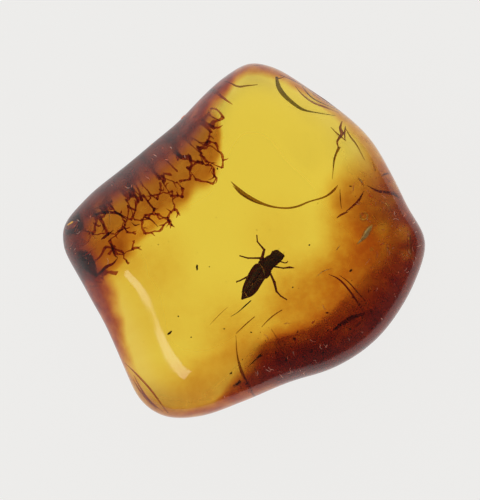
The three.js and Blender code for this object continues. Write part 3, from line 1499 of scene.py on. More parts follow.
SPECKS = (
    Speck(-3.35, -1.91, 6.5, 0.42, 0.17, 88),
    Speck(-5.3, -6.68, 6.0, 0.4, 0.16, 40),
    Speck(-1.4, -6.38, 5.5, 0.14, 0.1),
    Speck(0.53, -6.63, 6.0, 0.15, 0.13),
    Speck(4.76, -0.3, 6.0, 0.16, 0.13),
    Speck(3.56, -3.38, 6.0, 0.14, 0.12),
    Speck(-4.69, -5.48, 6.0, 0.14, 0.12),
    Speck(-3.79, -6.98, 5.6, 0.16, 0.1, 20),
    Speck(-1.88, 5.2, 6.6, 0.16, 0.12, 80),
    Speck(-2.47, -1.88, 6.0, 0.1, 0.09),
    Speck(7.75, -2.15, 6.0, 0.28, 0.18, 35),
    Speck(3.9, -7.76, 5.4, 0.2, 0.16),
    Speck(-0.95, -9.45, 5.0, 0.24, 0.12, 35),
    Speck(-4.39, 9.08, 9.0, 0.5, 0.2, 40, Tone.GLINT),
    Speck(-3.49, 8.93, 9.0, 0.36, 0.18, 20, Tone.GLINT),
    Speck(-2.81, 9.98, 9.0, 0.3, 0.16, 60, Tone.GLINT),
    Speck(-6.73, 7.04, 9.0, 0.36, 0.2, 40, Tone.GLINT),
    Speck(-7.99, 5.1, 9.0, 0.3, 0.16, 40, Tone.GLINT),
    Speck(-9.53, 4.28, 9.0, 0.5, 0.18, 30, Tone.GLINT),
    # Painted glint on the top rim: a golden speck.
    Speck(1.0, 12.75, 9.0, 0.6, 0.16, 0, Tone.GOLD),
    # Painted glint: a pale speck for a small bright spot.
    Speck(8.26, -8.04, 9.0, 0.22, 0.2, 0, Tone.PALE),
    Speck(8.5, 4.2, 9.0, 0.26, 0.14, 120, Tone.PALE),
)


@dataclass(frozen=True)
class Curls:
    """A scatter of fine curls: how many are tried, where, and how they vary. Sizes are in millimetres."""

    name: str
    count: int
    across: tuple[float, float]
    along: tuple[float, float]
    most_bend: float
    length: tuple[float, float]
    width: tuple[float, float]
    steps: int


@dataclass(frozen=True)
class Curl:
    """One curl as it is drawn: its bearing and bend are in radians and its length is in millimetres."""

    start: Vector
    bearing: float
    bend: float
    long: float
    steps: int


@dataclass
class Grit:
    """Loose crumbs, dust and spalled flakes scattered through the resin.

    A stretch that is read with bearing_past_x gives its bearings past 360 degrees where it runs on over +X.
    """

    nugget: Nugget
    reach: float = 13.5
    broken: Stretch = Stretch((258.0, 290.0), (394.0, 374.0), (5.0, 2.0))
    skin_gap: tuple[float, float] = (0.2, 0.5)
    char_ends: tuple[float, float] = (352.0, 325.0)
    least_char: float = 0.22
    crazed: Stretch = Stretch((108.0, 120.0), (195.0, 180.0), (3.0, 1.0), 0.3)
    near_face_heights: tuple[float, float] = (6.0, 7.4)
    gilt_spots: Table = ((11.7, 0.4), (10.6, 2.9))
    gilt_reach: tuple[float, float] = (2.2, 0.3)
    gilt_heights: tuple[float, float] = (5.5, 7.0)
    right_scuffs: Stretch = Stretch((262.0, 290.0), (388.0, 368.0), (3.4, 1.6), 0.75)
    left_scuffs: Stretch = Stretch((118.0, 150.0), (196.0, 184.0), (3.4, 1.6), 0.5)
    least_scuff_inset: float = 0.5
    least_thread_inset: float = 0.35
    scuffs: Curls = Curls(
        name="scuffs",
        count=1500,
        across=(-13.5, 13.5),
        along=(-13.0, 12.0),
        most_bend=1.4,
        length=(0.05, 0.45),
        width=(0.008, 0.028),
        steps=4,
    )
    threads: Curls = Curls(
        name="threads",
        count=1500,
        across=(-13.0, 13.5),
        along=(-12.0, 9.0),
        most_bend=1.6,
        length=(0.25, 0.8),
        width=(0.012, 0.035),
        steps=5,
    )
    lump_mm: float = 0.08
    lumpiness: float = 0.5
    fine_from: float = 0.15
    seed: int = 23

    def crumb(self, work: bmesh.types.BMesh, centre: Vector, half: Vector, turn: Matrix) -> None:
        """Adds one lumpy crumb.

        Args:
            work: The mesh being built.
            centre: Its middle, in metres.
            half: Half its size each way, in metres.
            turn: How it lies.
        """
        place = Matrix.Translation(centre) @ turn @ Matrix.Diagonal((*half, 1))
        fine = 2 if half.x > self.fine_from * MM else 1
        made = bmesh.ops.create_icosphere(work, subdivisions=fine, radius=1.0, matrix=place)
        for vertex in made["verts"]:
            away = vertex.co - centre
            lump = self.lumpiness * noise.noise(vertex.co / (self.lump_mm * MM))
            vertex.co = centre + away * (1 + lump)

    def held_in(self, point: Vector) -> Vector:
        """Moves a point up or down until it is sealed well inside the resin.

        Args:
            point: A point inside the outline.

        Returns:
            The point in its new place.
        """
        roof = self.nugget.over(point.x / MM, point.y / MM)
        floor = self.nugget.under(point.x / MM, point.y / MM)
        height = max(min(point.z, roof.z - CLEAR_SKIN * MM), floor.z + CLEAR_SKIN * MM)
        return Vector((point.x, point.y, height))

    def named_crumbs(self) -> list[bpy.types.Object]:
        """Builds the crumbs that stand out, and the two painted glints.

        Returns:
            One piece for each tone.
        """
        pieces = []
        for tone in dict.fromkeys(speck.tone for speck in SPECKS):
            work = bmesh.new()
            for speck in (speck for speck in SPECKS if speck.tone is tone):
                turn = Matrix.Rotation(math.radians(speck.bearing), 4, "Z")
                half = Vector((speck.long, speck.wide, speck.wide)) * MM / 2
                self.crumb(work, self.held_in(mm(speck.x, speck.y, speck.z)), half, turn)
            pieces.append(settle(f"crumbs_{tone.name.lower()}", work, tone.value))
        return pieces

    def scatter(
        self,
        name: str,
        tone: Tone,
        count: int,
        sizes: tuple[float, float],
        wanted: Callable[[Vector], float],
    ) -> bpy.types.Object:
        """Scatters small flakes where they are wanted.

        Args:
            name: The piece's name.
            tone: What the flakes look like.
            count: How many to try.
            sizes: Their least and greatest length, in millimetres.
            wanted: The chance, from 0 to 1, of keeping a flake at a point.

        Returns:
            The finished piece.
        """
        rng = random.Random(f"{self.seed} {name}")
        work = bmesh.new()
        for _ in range(count):
            x, y = rng.uniform(-self.reach, self.reach), rng.uniform(-self.reach, self.reach)
            depth, keep = rng.random(), rng.random()
            long = lerp(*sizes, rng.random() ** 2)
            shape = Vector((long, long * rng.uniform(0.25, 0.6), long * 0.2)) * MM / 2
            spin = rng.uniform(0, math.tau)
            turn = Matrix.Rotation(spin, 4, Vector((rng.gauss(0, 1), rng.gauss(0, 1), 2)))
            roof, floor = self.nugget.over(x, y), self.nugget.under(x, y)
            if roof is None or floor is None or roof.z - floor.z < 4 * CLEAR_SKIN * MM:
                continue
            height = lerp(floor.z + CLEAR_SKIN * MM, roof.z - CLEAR_SKIN * MM, depth)
            centre = Vector((x * MM, y * MM, height))
            if keep < wanted(centre):
                self.crumb(work, centre, shape, turn)
        return settle(name, work, tone.value)

    def broken_edge(self, point: Vector) -> float:
        """Works out how much of the spalled edge's debris lies at a point.

        Args:
            point: Any point. Its height doesn't count.

        Returns:
            A number from 0 to 1.
        """
        inset = self.nugget.rim.inset(point)
        return self.broken.at(bearing_past_x(point), inset) * smooth(*self.skin_gap, inset)

    def charred(self, point: Vector) -> float:
        """Returns how much dark debris lies at a point: most of it along the edge's dark side."""
        share = smooth(*self.char_ends, bearing_past_x(point))
        return self.broken_edge(point) * lerp(self.least_char, 1.0, share)

    def near_face(self, point: Vector) -> float:
        """Works out how much of the edge's debris lies just under the polished face.

        Args:
            point: Any point inside the nugget.

        Returns:
            A number from 0 to 1.
        """
        crazed = self.crazed.at(bearing_of(point), self.nugget.rim.inset(point))
        return max(self.broken_edge(point), crazed) * smooth(*self.near_face_heights, point.z / MM)

    def gilded(self, point: Vector) -> float:
        """Returns how much golden debris lies at a point, from 0 to 1."""
        away = min(math.hypot(point.x / MM - x, point.y / MM - y) for x, y in self.gilt_spots)
        return smooth(*self.gilt_reach, away) * smooth(*self.gilt_heights, point.z / MM)

    def scuffed(self, point: Vector) -> float:
        """Works out how scuffed the skin of the rim is.

        Args:
            point: Any point. Its height doesn't count.

        Returns:
            A number from 0 to 1.
        """
        inset = self.nugget.rim.inset(point)
        right = self.right_scuffs.at(bearing_past_x(point), inset)
        return max(right, self.left_scuffs.at(bearing_of(point), inset))

    def on_skin(self, curl: Curl) -> list[Vector] | None:
        """Lays a scuff on the upper skin.

        Args:
            curl: The scuff as it is drawn.

        Returns:
            Its path, or None too near the edge.
        """
        if self.nugget.rim.inset(curl.start) < self.least_scuff_inset:
            return None
        path = []
        for step in range(curl.steps + 1):
            share = step / curl.steps
            heading = curl.bearing + curl.bend * share
            place = curl.start + mm(math.cos(heading), math.sin(heading)) * curl.long * share
            path.append(self.nugget.over(place.x / MM, place.y / MM))
        return path

    def under_skin(self, curl: Curl) -> list[Vector] | None:
        """Lays a thread of split resin just inside the skin.

        Args:
            curl: The thread as it is drawn.

        Returns:
            Its path, or None too near the edge.
        """
        path = [curl.start]
        for step in range(curl.steps):
            heading = curl.bearing + curl.bend * step / curl.steps
            path.append(path[-1] + mm(math.cos(heading), math.sin(heading)) * curl.long / curl.steps)
        if min(self.nugget.rim.inset(point) for point in path) <= self.least_thread_inset:
            return None
        return [self.held_in(point) for point in path]

    def scatter_curls(
        self,
        curls: Curls,
        wanted: Callable[[Vector], float],
        lay: Callable[[Curl], list[Vector] | None],
    ) -> bpy.types.Object:
        """Scatters fine bright curls where they are wanted.

        Args:
            curls: How many to try, where, and how they vary.
            wanted: The chance, from 0 to 1, of keeping a curl at a point.
            lay: What gives the path of a curl.

        Returns:
            The finished piece.
        """
        rng = random.Random(f"{self.seed} {curls.name}")
        work = bmesh.new()
        for _ in range(curls.count):
            spot = mm(rng.uniform(*curls.across), rng.uniform(*curls.along), DRAWN_AT)
            bearing, bend = rng.uniform(0, math.tau), rng.uniform(-curls.most_bend, curls.most_bend)
            long, width = rng.uniform(*curls.length), rng.uniform(*curls.width)
            if rng.random() > wanted(spot):
                continue
            path = lay(Curl(spot, bearing, bend, long, curls.steps))
            if path is not None:
                add_tube(work, path, (width / 2, width, width / 2), sides=5)
        return settle(curls.name, work, Tone.GLINT.value)

    def build(self) -> list[bpy.types.Object]:
        """Builds all the grit.

        Returns:
            The finished pieces.
        """
        return [
            *self.named_crumbs(),
            self.scatter("dust", Tone.UMBER, 260, (0.04, 0.12), lambda point: 0.6),
            self.scatter("spalls", Tone.GLINT, 6500, (0.08, 0.4), self.near_face),
            self.scatter("char", Tone.PITCH, 3000, (0.06, 0.34), self.charred),
            self.scatter("gilt", Tone.GOLD, 3600, (0.1, 0.34), self.gilded),
            self.scatter_curls(self.threads, self.near_face, self.under_skin),
            self.scatter_curls(self.scuffs, self.scuffed, self.on_skin),
        ]


@dataclass(frozen=True)
class Bubble:
    """A gas bubble: its middle, its radius and half the thickness of its ring of light, in millimetres."""

    x: float
    y: float
    z: float
    radius: float
    thick: float


@dataclass
class Bubbles:
    """Gas bubbles. No bubble is built: only the ring of light round each, painted as a ring of golden foil."""

    bubbles: tuple[Bubble, ...] = (
        Bubble(8.65, 1.73, 8.2, 0.26, 0.09),
        Bubble(9.2, -0.6, 7.6, 0.1, 0.04),
    )
    sides: int = 8
    steps: int = 20

    def build(self) -> bpy.types.Object:
        """Spins a ring round each bubble's waist, the painted ring of light.

        Returns:
            The finished piece.
        """
        work = bmesh.new()
        for bubble in self.bubbles:
            place = Matrix.Translation(mm(bubble.x + bubble.radius, bubble.y, bubble.z))
            circle = bmesh.ops.create_circle(
                work,
                cap_ends=False,
                segments=self.sides,
                radius=bubble.thick * MM,
                matrix=place @ Matrix.Rotation(math.pi / 2, 4, "X"),
            )
            edges = list({edge for vert in circle["verts"] for edge in vert.link_edges})
            bmesh.ops.spin(
                work,
                geom=[*circle["verts"], *edges],
                cent=mm(bubble.x, bubble.y, bubble.z),
                axis=(0, 0, 1),
                angle=math.tau,
                steps=self.steps,
                use_merge=True,
            )
        return settle("bubble_light_rings", work, Tone.GOLD.value)


# The insect -----------------------------------------------------------------------------------------------


@dataclass(frozen=True)
class Station:
    """One section across the insect's body: where along it, how far to its left, and its half sizes."""

    along: float
    left: float
    half_width: float
    half_height: float
    rise: float = 0.0


@dataclass(frozen=True)
class Ball:
    """A stretched ball on the insect: its middle and half sizes in millimetres, and its turn about +Z."""

    centre: tuple[float, float, float]
    half_size: tuple[float, float, float]
    turn_deg: float = 0.0

    def add(self, work: bmesh.types.BMesh, segments: int = 16) -> list[bmesh.types.BMVert]:
        """Adds the ball to a mesh and returns its vertices."""
        turn = Matrix.Rotation(math.radians(self.turn_deg), 4, "Z")
        return add_ball(work, mm(*self.centre), mm(*self.half_size), turn, segments)


@dataclass(frozen=True)
class Leg:
    """A leg: the places of its joints from the body to the claw, and its radius from end to end."""

    name: str
    joints: Points
    radii: tuple[float, ...]


@dataclass(frozen=True)
class Seam:
    """A pale line on the insect's back, in plan, and its radius from end to end."""

    line: Table
    radii: tuple[float, ...]


class Side(Enum):
    """The insect's own left or right, as the sign of +Y there."""

    LEFT = 1
    RIGHT = -1


@dataclass
class Insect:
    """A small hopper, wings folded, seen from above. Its own +X is towards its head and +Y its left.

    Sizes are in millimetres. A wing case is given by places along the body, each with its width there.
    """

    place: tuple[float, float, float] = (1.25, -2.5, 6.2)
    heading_deg: float = 52.0
    pitch_deg: float = 4.0
    leg_girth: float = 1.3
    sides: int = 20
    abdomen: tuple[Station, ...] = (
        Station(-2.0, -0.02, 0.03, 0.03),
        Station(-1.8, 0.0, 0.2, 0.14),
        Station(-1.3, 0.06, 0.36, 0.26),
        Station(-0.6, 0.15, 0.44, 0.32),
        Station(0.1, 0.15, 0.48, 0.34),
        Station(0.7, 0.15, 0.44, 0.32),
        Station(0.95, 0.14, 0.3, 0.24),
    )
    thorax: tuple[Station, ...] = (
        Station(0.28, 0.1, 0.3, 0.16),
        Station(0.45, 0.12, 0.46, 0.3),
        Station(0.75, 0.12, 0.5, 0.36),
        Station(1.1, 0.1, 0.48, 0.36),
        Station(1.35, 0.03, 0.5, 0.34),
        Station(1.55, 0.0, 0.42, 0.28),
    )
    head: tuple[Station, ...] = (
        Station(1.4, -0.04, 0.4, 0.24),
        Station(1.6, -0.05, 0.46, 0.3),
        Station(1.84, -0.04, 0.45, 0.28),
        Station(2.04, -0.08, 0.43, 0.22),
        Station(2.15, -0.12, 0.38, 0.16),
        Station(2.21, -0.15, 0.26, 0.08),
    )
    legs: tuple[Leg, ...] = (
        Leg(
            "front_left",
            (
                (1.0, 0.45, -0.15),
                (1.05, 0.72, -0.05),
                (1.6, 0.95, 0.05),
                (1.76, 1.7, 0.0),
                (2.08, 2.0, -0.1),
            ),
            (0.1, 0.095, 0.085, 0.05, 0.04, 0.034),
        ),
        Leg(
            "middle_left",
            ((0.8, 0.45, -0.2), (0.9, 0.85, -0.15), (0.38, 1.5, -0.2), (0.14, 2.06, -0.3)),
            (0.08, 0.06, 0.05, 0.045, 0.034),
        ),
        Leg(
            "hind_left",
            (
                (-0.5, 0.55, -0.25),
                (-0.82, 0.76, -0.3),
                (-1.3, 0.98, -0.4),
                (-1.45, 1.1, -0.45),
                (-1.52, 1.06, -0.5),
            ),
            (0.09, 0.055, 0.04, 0.036, 0.026),
        ),
        Leg(
            "front_right",
            (
                (1.62, -0.4, -0.2),
                (1.68, -0.58, -0.2),
                (1.75, -0.79, -0.2),
                (1.86, -0.9, -0.25),
                (1.97, -0.9, -0.3),
            ),
            (0.045, 0.036, 0.032, 0.032, 0.026),
        ),
        Leg(
            "middle_right",
            (
                (1.0, -0.25, -0.25),
                (1.2, -0.58, -0.2),
                (1.4, -0.95, -0.15),
                (1.72, -1.27, -0.2),
                (1.88, -1.54, -0.3),
            ),
            (0.06, 0.05, 0.04, 0.05, 0.06, 0.024),
        ),
        Leg(
            "hind_right",
            (
                (0.5, -0.3, -0.2),
                (0.48, -0.5, -0.15),
                (0.2, -1.06, 0.0),
                (-0.22, -1.6, 0.05),
                (-0.3, -2.05, 0.0),
                (-0.25, -2.55, -0.15),
            ),
            (0.07, 0.06, 0.065, 0.08, 0.066, 0.042, 0.042, 0.034),
        ),
    )
    abdomen_ring: float = 0.28
    head_crown: float = 0.18
    face_along: tuple[float, float] = (1.7, 2.2)
    face_drop: float = 0.08
    eyes: tuple[Ball, ...] = (
        Ball((1.76, 0.35, 0.02), (0.2, 0.07, 0.15), 20.0),
        Ball((1.78, -0.44, 0.02), (0.2, 0.07, 0.15), -20.0),
    )
    pronotum: Ball = Ball((1.22, 0.06, 0.2), (0.34, 0.48, 0.17))
    pronotum_sweep: float = 0.125
    scutellum: Ball = Ball((0.72, 0.12, 0.28), (0.3, 0.28, 0.1))
    scutellum_along: tuple[float, float] = (1.02, 0.42)
    scutellum_taper: float = 0.85
    coxae: tuple[Ball, ...] = (
        Ball((0.35, -0.36, -0.05), (0.36, 0.15, 0.18), 4.0),
        Ball((0.92, 0.62, -0.08), (0.2, 0.14, 0.15)),
        Ball((0.7, 0.62, -0.1), (0.2, 0.14, 0.14)),
    )
    left_wing: Table = (
        (0.6, 0.4),
        (0.46, 0.62),
        (0.1, 0.68),
        (-0.5, 0.64),
        (-1.0, 0.55),
        (-1.5, 0.42),
        (-1.9, 0.2),
        (-2.22, 0.03),
    )
    right_wing: Table = (
        (0.66, 0.1),
        (0.4, 0.5),
        (-0.1, 0.52),
        (-0.6, 0.54),
        (-1.1, 0.56),
        (-1.6, 0.44),
        (-1.95, 0.2),
        (-2.2, 0.04),
    )
    spine_left: float = 0.14
    wing_arch: float = 0.5
    wing_lift: float = 0.16
    under_wing: float = 0.9
    droop: float = 0.09
    droop_along: tuple[float, float] = (-1.0, -2.2)
    veins: Points = ((0.18, 0.05, 0.06), (0.34, 0.12, 0.1), (0.48, 0.22, 0.1))
    vein_ends: tuple[float, float] = (0.35, -1.85)
    vein_height: float = 0.34
    vein_steps: int = 12
    seams: tuple[Seam, ...] = (
        Seam(
            ((0.55, 0.78), (0.6, 0.55), (0.5, 0.28), (0.36, 0.05), (0.17, -0.18)),
            (0.008, 0.018, 0.022, 0.018, 0.01),
        ),
        Seam(((-1.66, 0.24), (-1.74, 0.05), (-1.84, -0.18)), (0.02, 0.034, 0.024)),
        Seam(((-0.12, -0.3), (-0.26, -0.12), (-0.3, 0.0)), (0.012, 0.014, 0.008)),
        Seam(((-0.8, 0.14), (-0.95, 0.1), (-1.1, 0.16)), (0.01, 0.02, 0.008)),
        Seam(((-0.45, 0.72), (-0.8, 0.66), (-1.2, 0.52)), (0.006, 0.01, 0.006)),
    )

    def __post_init__(self) -> None:
        """Works out how the insect lies in the nugget."""
        turn = Matrix.Rotation(math.radians(self.heading_deg), 4, "Z")
        pitch = Matrix.Rotation(math.radians(-self.pitch_deg), 4, "Y")
        self.lie = Matrix.Translation(mm(*self.place)) @ turn @ pitch

    def put(self, name: str, work: bmesh.types.BMesh, finish: Finish) -> bpy.types.Object:
        """Moves a part from the insect's own frame to its place in the nugget and finishes it.

        Args:
            name: The part's name.
            work: Its mesh, which is used up.
            finish: What it is made of.

        Returns:
            The finished piece.
        """
        bmesh.ops.transform(work, matrix=self.lie, verts=work.verts[:])
        return settle(f"insect_{name}", work, finish)

    def loft(self, work: bmesh.types.BMesh, stations: Sequence[Station]) -> None:
        """Adds a body part through its stations.

        Args:
            work: The mesh being built.
            stations: The part's sections from tail to head.
        """
        sections = [
            section(
                mm(station.along, station.left, station.rise),
                Vector((1, 0, 0)),
                station.half_width * MM,
                station.half_height * MM,
            )
            for station in stations
        ]
        add_loft(work, sections, self.sides)

    def rounded(self, stations: Sequence[Station], steps: int = 4) -> list[Station]:
        """Adds stations between the given ones, on a smooth line through their sizes.

        Args:
            stations: The sections that are given.
            steps: How many stretches replace each gap.

        Returns:
            The longer row of sections.
        """
        plan = smooth_path([Vector((s.along, s.left, s.rise)) for s in stations], steps)
        sizes = smooth_path([Vector((s.half_width, s.half_height, 0)) for s in stations], steps)
        return [
            Station(p.x, p.y, max(size.x, 0.01), max(size.y, 0.01), p.z) for p, size in zip(plan, sizes)
        ]

    def build_trunk(self) -> list[bpy.types.Object]:
        """Builds the abdomen with its rings, the thorax and the head.

        Returns:
            The three pieces.
        """
        pieces = []
        for name, stations in (("abdomen", self.abdomen), ("thorax", self.thorax), ("head", self.head)):
            work = bmesh.new()
            self.loft(work, self.rounded(stations))
            if name == "abdomen":
                self.ring_abdomen(work)
            if name == "head":
                self.shape_head(work)
            pieces.append(self.put(name, work, CUTICLE))
        return pieces

    def ring_abdomen(self, work: bmesh.types.BMesh) -> None:
        """Draws the abdomen in at the joints between its plates.

        Args:
            work: The mesh being built.
        """
        for vertex in work.verts:
            ring = math.sin(vertex.co.x / (self.abdomen_ring * MM) * math.pi) ** 8
            vertex.co.y *= 1 - 0.05 * ring
            vertex.co.z *= 1 - 0.08 * ring

    def shape_head(self, work: bmesh.types.BMesh) -> None:
        """Flattens the crown of the head and draws its face down to the snout.

        Args:
            work: The mesh being built.
        """
        crown = self.head_crown * MM
        for vertex in work.verts:
            if vertex.co.z > crown:
                vertex.co.z = lerp(vertex.co.z, crown, 0.6)
            vertex.co.z -= self.face_drop * MM * smooth(*self.face_along, vertex.co.x / MM)

    def build_eyes(self) -> bpy.types.Object:
        """Builds the two compound eyes at the corners of the head.

        Returns:
            The finished piece.
        """
        work = bmesh.new()
        for eye in self.eyes:
            eye.add(work)
        return self.put("eyes", work, EYE)

    def build_antennae(self) -> bpy.types.Object:
        """Builds the antennae: a thick joint and a bristle each.

        Returns:
            The finished piece.
        """
        work = bmesh.new()
        for side, left in ((Side.LEFT, 0.14), (Side.RIGHT, -0.3)):
            root = mm(2.0, left, -0.05)
            middle = root + mm(0.14, 0.05 * side.value, 0.0)
            tip = root + mm(0.38, -0.02 * side.value, 0.03)
            add_tube(work, smooth_path([root, middle, tip], 4), (0.035, 0.02, 0.012, 0.008), sides=6)
        return self.put("antennae", work, LEG_CUTICLE)

    def build_shield(self) -> bpy.types.Object:
        """Builds the pronotum plate and the scutellum's triangle on top of the thorax.

        Returns:
            The finished piece.
        """
        work = bmesh.new()
        middle = self.pronotum.centre[1] * MM
        for vertex in self.pronotum.add(work, segments=20):
            vertex.co.x -= self.pronotum_sweep * abs(vertex.co.y - middle)
        middle = self.scutellum.centre[1] * MM
        for vertex in self.scutellum.add(work, segments=20):
            narrow = smooth(*self.scutellum_along, vertex.co.x / MM)
            vertex.co.y = lerp(vertex.co.y, middle, self.scutellum_taper * narrow)
        return self.put("shield", work, CUTICLE)

    def build_wing_case(self, side: Side) -> bpy.types.Object:
        """Builds one folded wing case, arched over the back and drooping towards its tip.

        Args:
            side: The right case lies under the left one, a little lower.

        Returns:
            The finished piece.
        """
        work = bmesh.new()
        left = side is Side.LEFT
        stations = []
        for along, wide in reversed(self.left_wing if left else self.right_wing):
            spine = 0.16 + 0.06 * along if along < 0.3 else 0.16
            middle = spine + side.value * wide * 0.5
            stations.append(Station(along, middle, max(wide * 0.5, 0.02) + 0.02, 0.045 + 0.12 * wide, 0.2))
        self.loft(work, self.rounded(stations))
        for vertex in work.verts:
            off = abs(vertex.co.y / MM - self.spine_left)
            crown = (self.wing_lift - self.wing_arch * off**2) * (1.0 if left else self.under_wing)
            fall = self.droop * smooth(*self.droop_along, vertex.co.x / MM)
            vertex.co.z += (crown - fall) * MM
        return self.put(f"wing_case_{side.name.lower()}", work, WING_CASE)

    def build_veins(self) -> bpy.types.Object:
        """Builds the raised veins that run back along both wing cases.

        Returns:
            The finished piece.
        """
        work = bmesh.new()
        for side in Side:
            for start, end, bow in self.veins:
                path = []
                for step in range(self.vein_steps + 1):
                    share = step / self.vein_steps
                    along = lerp(*self.vein_ends, share)
                    off = lerp(start, end, share) + bow * math.sin(math.pi * share)
                    fall = self.wing_arch * off**2 + self.droop * smooth(*self.droop_along, along)
                    path.append(mm(along, self.spine_left + side.value * off, self.vein_height - fall))
                add_tube(work, path, (0.008, 0.012, 0.008), sides=6)
        return self.put("veins", work, CUTICLE)

    def build_sutures(self, shell: Sequence[bpy.types.Object]) -> bpy.types.Object:
        """Builds the pale lines where the wing cases meet the thorax and where their tips cross.

        Args:
            shell: The pieces of the back that the lines lie on.

        Returns:
            The finished piece.
        """
        back = bmesh.new()
        for piece in shell:
            back.from_mesh(piece.data)
        tree = BVHTree.FromBMesh(back)
        back.free()
        work = bmesh.new()
        for seam in self.seams:
            path = []
            for point in smooth_path([mm(*place) for place in seam.line], 6):
                spot = self.lie @ point
                hit = tree.ray_cast(spot + mm(0, 0, 3), Vector((0, 0, -1)))[0]
                if hit is not None:
                    path.append(hit)
            add_tube(work, path, seam.radii, sides=6)
        return settle("insect_sutures", work, PALE_SEAM)

    def build_legs(self) -> list[bpy.types.Object]:
        """Builds the six legs, each a piece of its own with swollen joints.

        Returns:
            The six pieces.
        """
        pieces = []
        for leg in self.legs:
            work = bmesh.new()
            points = [mm(*joint) for joint in leg.joints]
            gaps = zip(points, points[1:])
            path = [start.lerp(end, step / 4) for start, end in gaps for step in range(4)]
            girths = [radius * self.leg_girth for radius in leg.radii]
            add_tube(work, [*path, points[-1]], girths, sides=10)
            thick = spread_values(girths, len(points))
            for point, radius in zip(points[1:], thick[1:]):
                add_ball(work, point, Vector((1.2, 1.2, 1.2)) * radius * MM, segments=10)
            pieces.append(self.put(f"leg_{leg.name}", work, LEG_CUTICLE))
        return pieces

    def build_coxae(self) -> bpy.types.Object:
        """Builds the swollen leg bases that show beside the thorax.

        Returns:
            The finished piece.
        """
        work = bmesh.new()
        for coxa in self.coxae:
            coxa.add(work)
        return self.put("coxae", work, CUTICLE)

    def build(self) -> list[bpy.types.Object]:
        """Builds every part of the insect.

        Returns:
            The finished pieces.
        """
        back = [
            *self.build_trunk(),
            self.build_shield(),
            self.build_wing_case(Side.LEFT),
            self.build_wing_case(Side.RIGHT),
        ]
        return [
            *back,
            self.build_eyes(),
            self.build_antennae(),
            self.build_veins(),
            self.build_sutures(back),
            *self.build_legs(),
            self.build_coxae(),
        ]


# The studio -----------------------------------------------------------------------------------------------


@dataclass(frozen=True)
class Softbox:
    """A soft lamp aimed at the nugget: where it hangs, its size in millimetres and its power in watts."""

    bearing: float
    elevation: float
    distance: float
    wide: float
    tall: float
    power: float


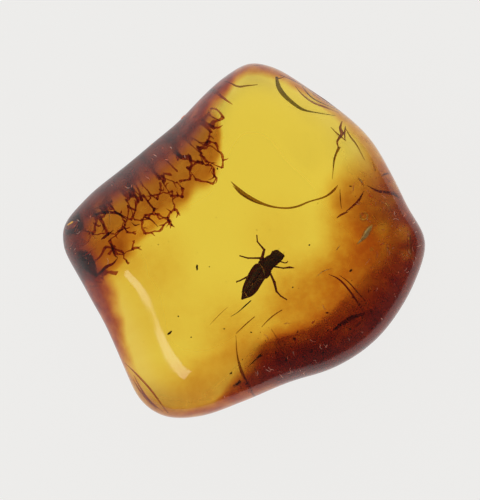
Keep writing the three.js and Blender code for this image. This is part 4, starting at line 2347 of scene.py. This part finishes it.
@dataclass
class Studio:
    """The light table, the soft surroundings, the lamps and the camera that looks straight down."""

    low: Vector
    high: Vector
    lens: float = 100.0
    sensor: float = 36.0
    frame_height: float = 37.5
    aim_off: tuple[float, float] = (-0.26, -0.68)
    sharp_height: float = 4.5
    floor_gap: float = 0.05
    floor_size: float = 4000.0
    bright_side: float = 1.0
    dim_side: float = 0.22
    side_fade: tuple[float, float] = (-0.8, 0.9)
    zenith: float = 0.1
    zenith_fade: tuple[float, float] = (0.5, 0.97)
    bounces: int = 24
    glossy_bounces: int = 16
    lamps: tuple[Softbox, ...] = (
        Softbox(bearing=230.5, elevation=66.2, distance=300.0, wide=104.0, tall=26.0, power=0.024),
    )

    def build_floor(self) -> bpy.types.Object:
        """Builds the lit panel, a hair below the nugget so that light still turns at the underside.

        Returns:
            The floor.
        """
        work = bmesh.new()
        place = Matrix.Translation(mm(0, 0, -self.floor_gap))
        bmesh.ops.create_grid(work, x_segments=1, y_segments=1, size=self.floor_size * MM / 2, matrix=place)
        mesh = bpy.data.meshes.new("light_table")
        work.to_mesh(mesh)
        work.free()
        mesh.materials.append(Stage("opal_acrylic_lit").material())
        floor = bpy.data.objects.new("light_table", mesh)
        bpy.context.scene.collection.objects.link(floor)
        floor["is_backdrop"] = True
        return floor

    def build_world(self) -> None:
        """Surrounds the table with soft white that is brightest low down on the far left."""
        world = bpy.data.worlds.new("soft_surround")
        world.use_nodes = True
        bpy.context.scene.world = world
        tree = world.node_tree
        tree.nodes.clear()
        place = add_node(tree, "ShaderNodeTexCoord").outputs["Generated"]
        split = add_node(tree, "ShaderNodeSeparateXYZ", links={0: place})
        facing = add_node(
            tree,
            "ShaderNodeVectorMath",
            {"operation": "DOT_PRODUCT"},
            {1: (-math.sqrt(0.5), math.sqrt(0.5), 0.0)},
            {0: place},
        )
        side = add_node(
            tree,
            "ShaderNodeMapRange",
            {"interpolation_type": "SMOOTHSTEP"},
            {
                "From Min": self.side_fade[0],
                "From Max": self.side_fade[1],
                "To Min": self.dim_side,
                "To Max": self.bright_side,
            },
            {"Value": facing.outputs["Value"]},
        )
        fade = add_node(
            tree,
            "ShaderNodeMapRange",
            {"interpolation_type": "SMOOTHSTEP"},
            {"From Min": self.zenith_fade[0], "From Max": self.zenith_fade[1], "To Max": self.zenith},
            {"Value": split.outputs["Z"], "To Min": side.outputs[0]},
        )
        sky = add_node(tree, "ShaderNodeBackground", links={"Strength": fade.outputs[0]})
        add_node(tree, "ShaderNodeOutputWorld", links={"Surface": sky.outputs[0]})

    def build_lamps(self) -> None:
        """Hangs the soft lamps."""
        centre = (self.low + self.high) / 2
        for index, lamp in enumerate(self.lamps):
            light = bpy.data.lights.new(f"softbox_{index}", "AREA")
            light.shape = "RECTANGLE"
            light.size = lamp.wide * MM
            light.size_y = lamp.tall * MM
            light.energy = lamp.power
            holder = bpy.data.objects.new(light.name, light)
            bpy.context.scene.collection.objects.link(holder)
            turn = math.radians(lamp.bearing)
            rise = math.radians(lamp.elevation)
            level = math.cos(rise)
            away = Vector((level * math.cos(turn), level * math.sin(turn), math.sin(rise)))
            holder.location = centre + away * lamp.distance * MM
            holder.rotation_euler = (-away).to_track_quat("-Z", "Y").to_euler()

    def build_camera(self) -> None:
        """Hangs the camera over the nugget, looking straight down."""
        camera = bpy.data.cameras.new("camera")
        camera.lens = self.lens
        camera.sensor_width = self.sensor
        camera.clip_start = MM
        holder = bpy.data.objects.new("camera", camera)
        bpy.context.scene.collection.objects.link(holder)
        centre = (self.low + self.high) / 2
        distance = self.frame_height * self.lens / self.sensor
        holder.location = Vector((centre.x, centre.y, 0)) + mm(*self.aim_off, self.sharp_height + distance)
        bpy.context.scene.camera = holder

    def set_view(self) -> None:
        """Sets how light is shown, in plain sRGB, and how often it may turn inside the resin."""
        scene = bpy.context.scene
        scene.view_settings.view_transform = "Standard"
        scene.cycles.max_bounces = self.bounces
        scene.cycles.transmission_bounces = self.bounces
        scene.cycles.glossy_bounces = self.glossy_bounces

    def build(self) -> None:
        """Builds the whole studio."""
        self.build_floor()
        self.build_world()
        self.build_lamps()
        self.build_camera()
        self.set_view()


def main() -> None:
    """Builds the nugget, what is sealed in it and the studio, which it places by the bounds of the imported
    parts.
    """
    logging.basicConfig(level=logging.INFO, format="%(name)s: %(message)s", stream=sys.stdout)
    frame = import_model()
    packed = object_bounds()
    nugget = Nugget(frame["nodes"][AMBER_NODE])
    nugget.build()
    Crazing(nugget).build()
    Streaks(nugget, LINES).build()
    Grit(nugget).build()
    Bubbles().build()
    Insect().build()
    Studio(*packed).build()


if __name__ == "__main__":
    main()
